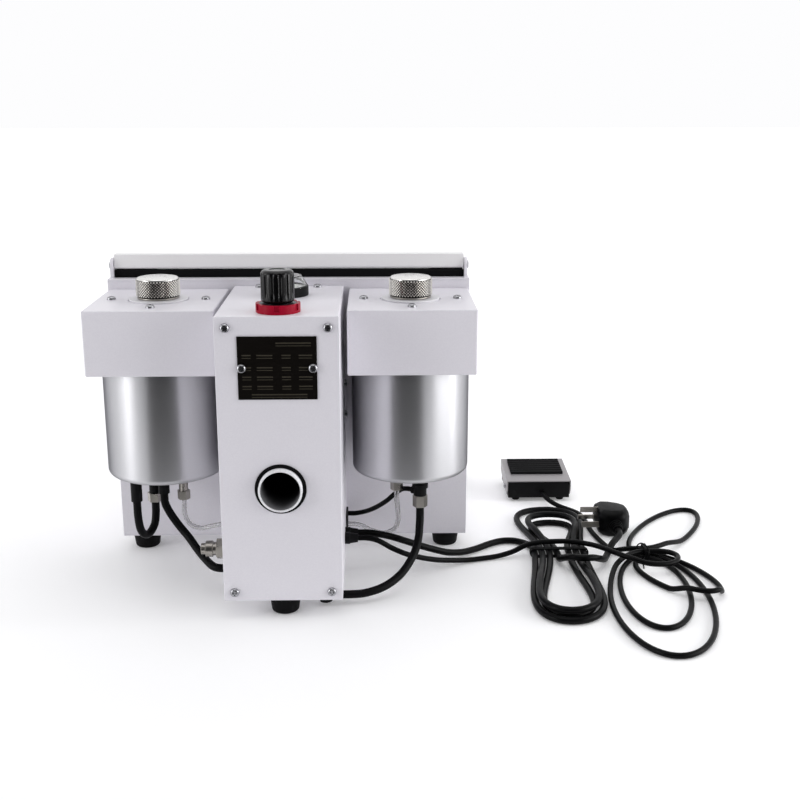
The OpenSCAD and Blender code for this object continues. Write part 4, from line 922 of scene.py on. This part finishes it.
def cord_set():
    """Both free cords with what they carry."""
    tie = hank_tie()
    plug_parts = [plug_body(), plug_relief(), plug_pins()]
    line = joined(smooth_line(mains_lead), hank_line()[::-1], smooth_line(mains_tail))
    facts = {"far_end": "plug", "stiffness": "medium", "lay": "coiled", "with_pieces": plug_parts + [tie]}
    mains = cord_piece("mains_cord_whole", line, mains_d, jacket)
    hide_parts("mains_cord", "mains_hank")
    line = joined(smooth_line(pedal_lead), coil_line(), smooth_line(pedal_tail))
    facts = {"far_end": "object", "stiffness": "medium", "lay": "coiled", "with_pieces": [coil_tie()]}
    pedal = cord_piece("pedal_cord_whole", line, pedal_cord_d, jacket)
    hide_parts("pedal_cord", "pedal_coil")


cord_set()
black_hose_set()
clear_hose_set()


# Cabinet, hoods and column in bent sheet steel
def sheet_steel():
    """The powder-coated panels, with their bends and cut edges."""
    for node, edge, bend in (
        ("base_pan", 0.5, 0), ("rear_panel", 0.3, 0), ("side_panels", 0.4, 0), ("front_panel", 0.4, 0),
        ("rim_frame", 0.5, 0), ("column_shell", 0.3, 2.0), ("column_cover", 0.25, 1.2),
        ("tank_hoods", 0.3, 2.2),
    ):
        dressed(node, white_coat, edge, bend)
    # The lid's lighter white is painted light
    dressed("lid_frame", lid_coat_lit, 0.6)


def cabinet_fittings():
    """The fittings of the cabinet that keep the shape of their solids."""
    for node, material, edge in (
        ("rim_gasket", rubber, 1.2), ("arm_cuffs", rubber, 0.6), ("blast_grid", stainless, 0.25),
        ("lamp_bar", lamp_white, 1.2), ("hinge_pins", zinc, 0.4), ("lid_window", glass, 0.3),
        ("lid_handle", black_plastic, 1.2), ("pipe_grommet", rubber, 0.4), ("nameplate", plate_finish, 0.2),
        ("regulator_body", black_steel, 0.4), ("regulator_ring", crimson, 0.5),
        ("regulator_spindle", zinc, 0.5), ("gauge_case", black_plastic, 0.5), ("gauge_lens", lens_clear, 0.5),
        ("gauge_needle", ink, 0.1), ("solenoid_valves", valve_finish, 0.8), ("power_supply", stainless, 0.8),
        ("air_inlet", nickel, 0.5), ("tank_heads", head_metal, 0.5), ("left_cap_plug", nickel, 0.3),
        ("right_cap_plug", nickel, 0.3), ("tank_fittings", black_plastic, 0.7), ("hose_nuts", nickel, 0.5),
        ("switch_frames", black_plastic, 0.5), ("power_rocker", black_plastic, 0.5),
        ("selector_rocker", black_plastic, 0.5), ("pedal_base", black_plastic, 0.8),
        ("pedal_cover", pedal_grey, 0.4), ("pedal_tread", rubber, 0.4), ("pedal_pin", zinc, 0.5),
        ("pedal_switch", black_plastic, 0.4), ("cord_glands", black_plastic, 0.6),
        ("blast_pens", stainless, 0.2),
    ):
        dressed(node, material, edge)


sheet_steel()
cabinet_fittings()


def tanks():
    """The two abrasive tanks, drawn cans with a rounded foot."""
    bm = bmesh.new()
    wall, foot, top, fillet = 2.2, 113, 273, 6
    radius = 57
    profile = [(0, foot)] + arc((radius - fillet, foot + fillet), fillet, -90, 0, 8)
    profile += [(radius, top - 0.4), (radius - 0.4, top), (radius - wall, top)]
    profile += arc((radius - fillet, foot + fillet), fillet - wall, 0, -90, 8) + [(0, foot + wall)]
    for x, y in (left_tank, right_tank):
        turned(bm, profile, (x, y, 0), 160)
    piece = made("sand_tank_cans", bm, tank_metal, sharp=30)
    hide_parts("sand_tanks")


def dust_pipe():
    """The extraction pipe through the column, with a softened mouth and a bore darkened inwards by painted
    shade.
    """
    bm = bmesh.new()
    outer, inner, near, far, axis_z = 20, 18, bore_mouth, 153.5, 127.5
    profile = [(inner, near + 0.8), (inner + 0.5, near), (outer - 0.7, near), (outer, near + 0.7)]
    profile += [(outer, far), (inner, far)]
    turned(bm, profile, (0, 0, axis_z), 96, towards_front, closed=True)
    piece = made("dust_pipe_tube", bm, pipe_white, sharp=50)
    piece.data.materials.append(bore_shade)
    for face in piece.data.polygons:
        if math.hypot(face.center.x, face.center.z - axis_z * mm) < (inner + 0.1) * mm:
            face.material_index = 1
    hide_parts("dust_pipe")


def feet():
    """Rubber feet under the machine and the pedal, rounded at the floor."""
    bm = bmesh.new()
    profile = [(0, 0), (9, 0)] + arc((10, 3), 3, -90, -8, 5) + [(15, 17.6), (14.6, 18), (0, 18)]
    for spot in ((0, 0), (-161, 167), (161, 167), (-161, 365), (161, 365)):
        turned(bm, profile, (*spot, 0), 48)
    small = [(0, 0)] + arc((3.3, 1.2), 1.2, -90, 0, 4) + [(4.5, 5), (0, 5)]
    for x in (254.5, 307.5):
        for y in (302, 353):
            turned(bm, small, (x, y, 0), 32)
    piece = made("rubber_feet_all", bm, rubber, sharp=50)
    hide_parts("rubber_feet")


tanks()
dust_pipe()
feet()


# Geometry nodes trees
def node_tree(name, inputs):
    """A geometry nodes tree with named inputs of given kinds, and the sockets that bring them in."""
    tree = bpy.data.node_groups.new(name, "GeometryNodeTree")
    tree.is_modifier = True
    for label, kind in {"Geometry": "Geometry", **inputs}.items():
        tree.interface.new_socket(label, in_out="INPUT", socket_type="NodeSocket" + kind)
    tree.interface.new_socket("Geometry", in_out="OUTPUT", socket_type="NodeSocketGeometry")
    return tree, add(tree, "NodeGroupInput").outputs


def end_in_copies(tree, coat, copies):
    """Ends a tree with copies of a shape, made real and given a finish."""
    spread = add(tree, "GeometryNodeInstanceOnPoints", copies)
    real = add(tree, "GeometryNodeRealizeInstances", {"Geometry": spread.outputs[0]})
    coated = add(tree, "GeometryNodeSetMaterial", {"Geometry": real.outputs[0], "Material": coat})
    add(tree, "NodeGroupOutput", {0: coated.outputs[0]})


def knurl_tree():
    """Geometry nodes: a band of diamond knurls round a knob, each a low pyramid."""
    tree, given = node_tree("diamond_knurl", {
        "Centre": "Vector", "Radius": "Float", "Row Height": "Float", "Depth": "Float", "Columns": "Int",
        "Rows": "Int", "Finish": "Material",
    })

    def figure(operation, *terms):
        """A number worked out by a node of the tree."""
        return add(tree, "ShaderNodeMath", dict(enumerate(terms)), operation=operation).outputs[0]

    radius, columns, step = given["Radius"], given["Columns"], given["Row Height"]
    spots = add(tree, "GeometryNodePoints", {"Count": figure("MULTIPLY", columns, given["Rows"])})
    index = add(tree, "GeometryNodeInputIndex").outputs[0]
    share = figure("DIVIDE", index, columns)
    row = figure("FLOOR", share)
    stagger = figure("DIVIDE", figure("MODULO", row, 2.0), columns)
    half = figure("MULTIPLY", stagger, 0.5)
    turn = figure("MULTIPLY", figure("ADD", share, half), 2 * math.pi)
    x = figure("MULTIPLY", figure("COSINE", turn), radius)
    y = figure("MULTIPLY", figure("SINE", turn), radius)
    z = figure("MULTIPLY", row, step)
    spot = add(tree, "ShaderNodeCombineXYZ", {0: x, 1: y, 2: z}).outputs[0]
    moved = add(tree, "ShaderNodeVectorMath", {0: spot, 1: given["Centre"]}, operation="ADD").outputs[0]
    seated = add(tree, "GeometryNodeSetPosition", {"Geometry": spots.outputs[0], "Position": moved})
    lean = add(tree, "ShaderNodeCombineXYZ", {0: 0.0, 1: math.pi / 2, 2: turn}).outputs[0]
    pitch = figure("DIVIDE", figure("MULTIPLY", radius, 2 * math.pi), columns)
    wide = figure("MULTIPLY", pitch, 0.5)
    size = add(tree, "ShaderNodeCombineXYZ", {0: step, 1: wide, 2: given["Depth"]}).outputs[0]
    tooth = add(tree, "GeometryNodeMeshCone", {
        "Vertices": 4, "Radius Top": 0.1, "Radius Bottom": 0.76, "Depth": 1.0,
    })
    end_in_copies(tree, given["Finish"], {
        "Points": seated.outputs[0], "Instance": tooth.outputs["Mesh"], "Rotation": lean, "Scale": size,
    })
    return tree


def screw_tree():
    """Geometry nodes: one screw shape set at every spot, turned as the spot says."""
    tree, given = node_tree("screws_at_spots", {"Screw": "Object", "Size": "Float", "Finish": "Material"})
    shape = add(tree, "GeometryNodeObjectInfo", {"Object": given["Screw"]})
    turn = add(tree, "GeometryNodeInputNamedAttribute", {"Name": "turn"}, data_type="FLOAT_VECTOR")
    end_in_copies(tree, given["Finish"], {
        "Points": given["Geometry"], "Instance": shape.outputs["Geometry"],
        "Rotation": turn.outputs["Attribute"], "Scale": given["Size"],
    })
    return tree


def grown(name, tree, values, material, body, sharp=20, spots=None):
    """Runs a geometry nodes tree with its named inputs and keeps the result as a plain piece."""
    carrier = placed(name + "_carrier", spots or bpy.data.meshes.new(name + "_carrier"))
    modifier = carrier.modifiers.new("grown", "NODES")
    modifier.node_group = tree
    for item in tree.interface.items_tree:
        if item.in_out == "INPUT" and item.name in values:
            modifier[item.identifier] = values[item.name]
    mesh = result_of(carrier)
    mesh.name = name
    bpy.data.objects.remove(carrier)
    return shaded(name, mesh, material, body, sharp)


# Knobs
knurls = knurl_tree()
knurl_depth = 0.9
cap_z = 286.5
cap_h = 18
cap_r = 20.5


def cap_knob(side, place):
    """A knurled cap knob: a core darkened as painted shade between the knurls, the diamond knurl round it,
    and a bright faced top.
    """
    body = side + "_cap_knob"
    core = cap_r - knurl_depth + 0.1
    edge, crown, pitch, first_row, sunk = 1.2, 1.6, 1.36, 1.6, 0.15
    top = cap_h - crown
    bm = bmesh.new()
    turned(bm, [(0, 0), (core - edge, 0), (core, edge), (core, top), (0, top)], (*place, cap_z), 96)
    # The core's dark nickel is painted shade in the grooves between the knurls
    knob = made(side + "_cap_core", bm, groove_shade_metal, body, 30)
    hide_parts(body)
    bm = bmesh.new()
    profile = [(0, top)] + arc((core - crown, top), crown, 0, 90, 4) + [(0, cap_h)]
    turned(bm, profile, (*place, cap_z), 96)
    made(side + "_cap_face", bm, faced_metal, body, 30)
    values = {
        "Centre": Vector((*place, cap_z + first_row)) * mm, "Radius": (core + knurl_depth / 2 - sunk) * mm,
        "Row Height": pitch * mm, "Depth": knurl_depth * mm, "Columns": 44, "Rows": 11, "Finish": knurl_highlight_metal,
    }
    # The knurl's light nickel is a painted highlight on its points
    grown(side + "_cap_knurl", knurls, values, knurl_highlight_metal, body)


def regulator_knob():
    """The pull-up regulator knob: a crowned black cap with ribs moulded round its side."""
    low, height, reach, crown, ribs, rib_steps = 294.6, 29, 15, 4.6, 14, 12
    profile = [(0, 0), (12.3, 0), (14.6, 1.2)] + [(reach, z) for z in (2.6, 6, 10, 15, 20, 23)]
    profile += arc((reach - crown, height - crown), crown, 0, 90, 8)[1:]
    profile += [(7.4, height), (7.0, height - 0.5), (0, height - 0.5)]

    def groove(turn, z):
        """Depth of the groove between two ribs, which fades out at both ends of the side."""
        fade = ease((z - 3) / 3) * (1 - ease((z - height + 4.4) / 3))
        return fade * max(0, math.cos(turn * ribs)) ** 0.6

    bm = bmesh.new()
    turned(bm, profile, (0, 5.5, low), ribs * rib_steps, groove=groove)
    piece = made("regulator_knob_ribbed", bm, knob_black, "regulator_knob", 50)
    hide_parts("regulator_knob")


cap_knob("left", left_tank)
cap_knob("right", right_tank)
regulator_knob()


# Screws
def pan_head():
    """One pan-head screw with a cross recess, standing on its seat."""
    bm = bmesh.new()
    profile = [(0, -1), (1.7, -1), (1.7, 0), (3.5, 0), (3.5, 0.7)]
    profile += arc((1.6, 0.5), 1.9, 0, 76, 5) + [(0, 2.4)]
    turned(bm, profile, (0, 0, 0), 24)
    bmesh.ops.recalc_face_normals(bm, faces=bm.faces[:])
    screw = placed("pan_head", mesh_of("pan_head", bm))
    bm = bmesh.new()
    for wide, long in ((0.45, 2.1), (2.1, 0.45)):
        boxed(bm, (-long, -wide, 1.2), (long, wide, 4))
    cutter = placed("cross_recess", mesh_of("cross_recess", bm))
    cut = screw.modifiers.new("recess", "BOOLEAN")
    cut.operation = "DIFFERENCE"
    cut.use_self = True
    cut.object = cutter
    shape = result_of(screw)
    screw.modifiers.clear()
    screw.data = shape
    bpy.data.objects.remove(cutter)
    return screw


def screws():
    """All screws of the panels, each with its head on the sheet."""
    rear = (math.pi / 2, 0, 0)
    right = (0, math.pi / 2, 0)
    spots = []
    for side, (tank_x, tank_y) in ((-1, left_tank), (1, right_tank)):
        # Corners of the column, nameplate, top of the cover, and a ring on each tank's head
        spots += [((side * 45, -20, z), rear) for z in (26.5, 276)]
        spots.append(((side * 31.5, -21, 240), rear))
        spots.append(((side * 29, 137, 286), (0, 0, 0.4 * side)))
        ring, count = 45, 4
        for k in range(count):
            angle = 2 * math.pi / count * k
            spot = (tank_x + ring * math.cos(angle), tank_y + ring * math.sin(angle), 283)
            spots.append((spot, (0, 0, 0.7 * k + 0.3 * side)))
    spots += [((55, 115, z), right) for z in (160, 192)]
    mesh = bpy.data.meshes.new("screw_spots")
    mesh.from_pydata([Vector(spot) * mm for spot, turn in spots], [], [])
    turns = mesh.attributes.new("turn", "FLOAT_VECTOR", "POINT")
    for row, (spot, turn) in zip(turns.data, spots):
        row.vector = turn
    head = pan_head()
    values = {"Screw": head, "Size": 1.2, "Finish": zinc}
    piece = grown("panel_screw_heads", screw_tree(), values, zinc, "cabinet", 35, mesh)
    bpy.data.objects.remove(head)
    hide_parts("cover_screws", "panel_screws")


screws()


# Gauge dial, nameplate bars and switch marks
gauge_at = (0, 92)
dial_z = 293.5


def dial():
    """The gauge's dial: a white disc, ticks over three quarters of a turn, and numbers from 0 to 10."""
    hole, rim, thick, print_top = 1.3, 20, 0.3, 0.36
    zero_at, sweep, marks, most = 225, 270, 50, 10
    tick_ring, number_ring, number_size = 18.6, 12.2, 4.2
    middle = Vector((*gauge_at, dial_z))
    bm = bmesh.new()
    turned(bm, [(hole, 0), (rim, 0), (rim, thick), (hole, thick)], middle, 72, closed=True)
    made("gauge_dial", bm, dial_finish, sharp=40)
    bm = bmesh.new()
    for i in range(marks + 1):
        long, wide = (3.2, 0.35) if i % 5 == 0 else (1.8, 0.2)
        angle = math.radians(zero_at - sweep * i / marks)
        verts = boxed(bm, (tick_ring - long, -wide, thick), (tick_ring, wide, print_top))
        place = Matrix.Translation(middle * mm) @ Matrix.Rotation(angle, 4, "Z")
        bmesh.ops.transform(bm, matrix=place, verts=verts)
    for number in range(0, most + 1, 2):
        angle = math.radians(zero_at - sweep * number / most)
        words = bpy.data.curves.new("dial_number", "FONT")
        words.body = str(number)
        words.size = number_size * mm
        words.align_x = "CENTER"
        words.align_y = "CENTER"
        writing = placed("dial_number", words)
        flat = result_of(writing)
        bpy.data.objects.remove(writing)
        spot = Vector((number_ring * math.cos(angle), number_ring * math.sin(angle), print_top)) + middle
        flat.transform(Matrix.Translation(spot * mm))
        bm.from_mesh(flat)
    made("gauge_dial_print", bm, ink)


def plate_lines():
    """Fields of short blank bars on the nameplate, a thick one over a thin one, with nothing written."""
    bm = bmesh.new()
    face_y, proud = -21, 0.05
    fields = ((-31, -23), (-18, -4), (4, 12), (19, 31))
    rows = [(z, fields) for z in (251, 240, 231.5, 223)]
    rows += [(262, ((-1, 30),)), (215.5, ((-23, 26),))]
    for z, bars in rows:
        for x0, x1 in bars:
            for low, tall in ((z, 1.2), (z - 2.2, 0.7)):
                boxed(bm, (x0, face_y - proud, low), (x1, face_y, low + tall))
    made("nameplate_bars", bm, rule_finish)


def switch_marks():
    """The generic on and off marks on the two rockers."""
    face, proud, slope = 7.55, 0.13, 8
    rocker_y, rocker_z = 382, 112
    for name, x in (("power_rocker", -17), ("selector_rocker", 17)):
        bm = bmesh.new()
        boxed(bm, (-0.4, face, 3.6), (0.4, face + proud, 7.2))
        ring = [(1.2, 0), (1.9, 0), (1.9, proud), (1.2, proud)]
        turned(bm, ring, (0, face, -5.4), 32, towards_front, closed=True)
        tilt = Matrix.Rotation(math.radians(slope), 4, "X")
        place = Matrix.Translation(Vector((x, rocker_y, rocker_z)) * mm)
        bmesh.ops.transform(bm, matrix=place @ tilt, verts=bm.verts[:])
        made(name + "_marks", bm, white_ink, name)


dial()
plate_lines()
switch_marks()


def pedal_spring():
    """The pedal's return spring, a wire helix drawn at one length; the real spring shortens as the pedal goes
    down.
    """
    low, high, turns, steps, reach, wire = 8.2, 26.6, 5, 28, 6, 0.7
    x, y = 281, 348
    line = []
    for i in range(turns * steps + 1):
        turn = 2 * math.pi * i / steps
        height = low + (high - low) * i / (turns * steps)
        line.append(Vector((x + reach * math.cos(turn), y + reach * math.sin(turn), height)))
    bm = bmesh.new()
    swept(bm, line, wire, 8)
    piece = made("pedal_return_spring", bm, zinc)
    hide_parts("pedal_spring")
    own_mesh(piece)


pedal_spring()


# Studio: a pale floor and soft light from both sides, above and in front
def flat_sheet(name, corners, material):
    """A flat sheet of the studio between four corners in metres."""
    mesh = bpy.data.meshes.new(name)
    mesh.from_pydata(corners, [], [(0, 1, 2, 3)])
    mesh.materials.append(material)
    sheet = placed(name, mesh)
    return sheet


def floor():
    """A plain white floor that runs out of sight, greyer towards the camera and lighter far behind."""
    material, tree, surface = finish(
        "studio_floor_white", "white_plastic", roughness=0.9, specular_ior_level=0.1,
        emission_color=linear("#FFFFFF"),
    )
    away = along_y(tree, "Object")
    glow = ranged(tree, away, -0.3, 3.0, 0.06, 0.75, "LINEAR")
    tree.links.new(glow, surface.inputs["Emission Strength"])
    white = ranged(tree, away, -1.0, -0.34)
    tree.links.new(mixed(tree, white, linear("#98989A"), linear("#F4F4F5")), surface.inputs["Base Color"])
    reach = 14
    corners = [(-reach, -reach, 0), (reach, -reach, 0), (reach, reach, 0), (-reach, reach, 0)]
    flat_sheet("studio_floor", corners, material)


def dark_card(name, corners):
    """A dark card in front of the picture that shows only as the mirror image in the bright metal."""
    values = {"roughness": 0.9, "specular_ior_level": 0.1, "base_color": linear("#1C1C1E")}
    card = flat_sheet(name, corners, finish("black_card", "black_plastic", **values)[0])
    card.visible_camera = False
    card.visible_diffuse = False
    card.visible_transmission = False
    card.visible_shadow = False


def dark_cards():
    """A card on the floor that widens away from the machine, and one upright at its end."""
    close, spread, end, away, tall, height = 0.22, 1.3, -0.125, -3.2, 2.4, 0.002
    lying = [(-spread, away, height), (spread, away, height), (close, end, height), (-close, end, height)]
    upright = [(-spread, away, 0), (-spread, away, tall), (spread, away, tall), (spread, away, 0)]
    dark_card("floor_card", lying)
    dark_card("upright_card", upright)


def softbox(name, place, aim, wide, tall, power):
    """An area light in metres and watts, turned towards a point."""
    data = bpy.data.lights.new(name, "AREA")
    data.shape = "RECTANGLE"
    data.size = wide
    data.size_y = tall
    data.energy = power
    light = placed(name, data)
    light.location = place
    light.rotation_euler = (Vector(aim) - Vector(place)).to_track_quat("-Z", "Y").to_euler()


def studio_world():
    """White surroundings that are dimmer on the side the photograph was taken from."""
    world = bpy.data.worlds.new("studio_world")
    world.use_nodes = True
    tree = world.node_tree
    background = tree.nodes["Background"]
    background.inputs["Color"].default_value = linear("#FDFDFE")
    glow = ranged(tree, along_y(tree, "Generated"), -0.75, 0.35, 0.1, 1.0)
    tree.links.new(glow, background.inputs["Strength"])
    scene.world = world


floor()
dark_cards()
studio_world()
middle = (0, 0.1, 0.18)
softbox("left_softbox", (-1.75, -0.75, 0.6), middle, 1.2, 1.0, 8)
softbox("right_softbox", (1.8, -0.85, 0.6), middle, 1.0, 1.0, 14)
softbox("top_softbox", (0, -0.2, 2.0), middle, 1.6, 1.6, 8)
softbox("front_softbox", (0.1, -1.5, 2.2), middle, 1.2, 1.2, 1)
softbox("left_strip", (-1.55, -0.72, 0.55), middle, 0.35, 1.1, 5)
softbox("right_strip", (1.75, 0.0, 0.55), middle, 0.28, 1.1, 8)
scene.view_settings.view_transform = "Standard"
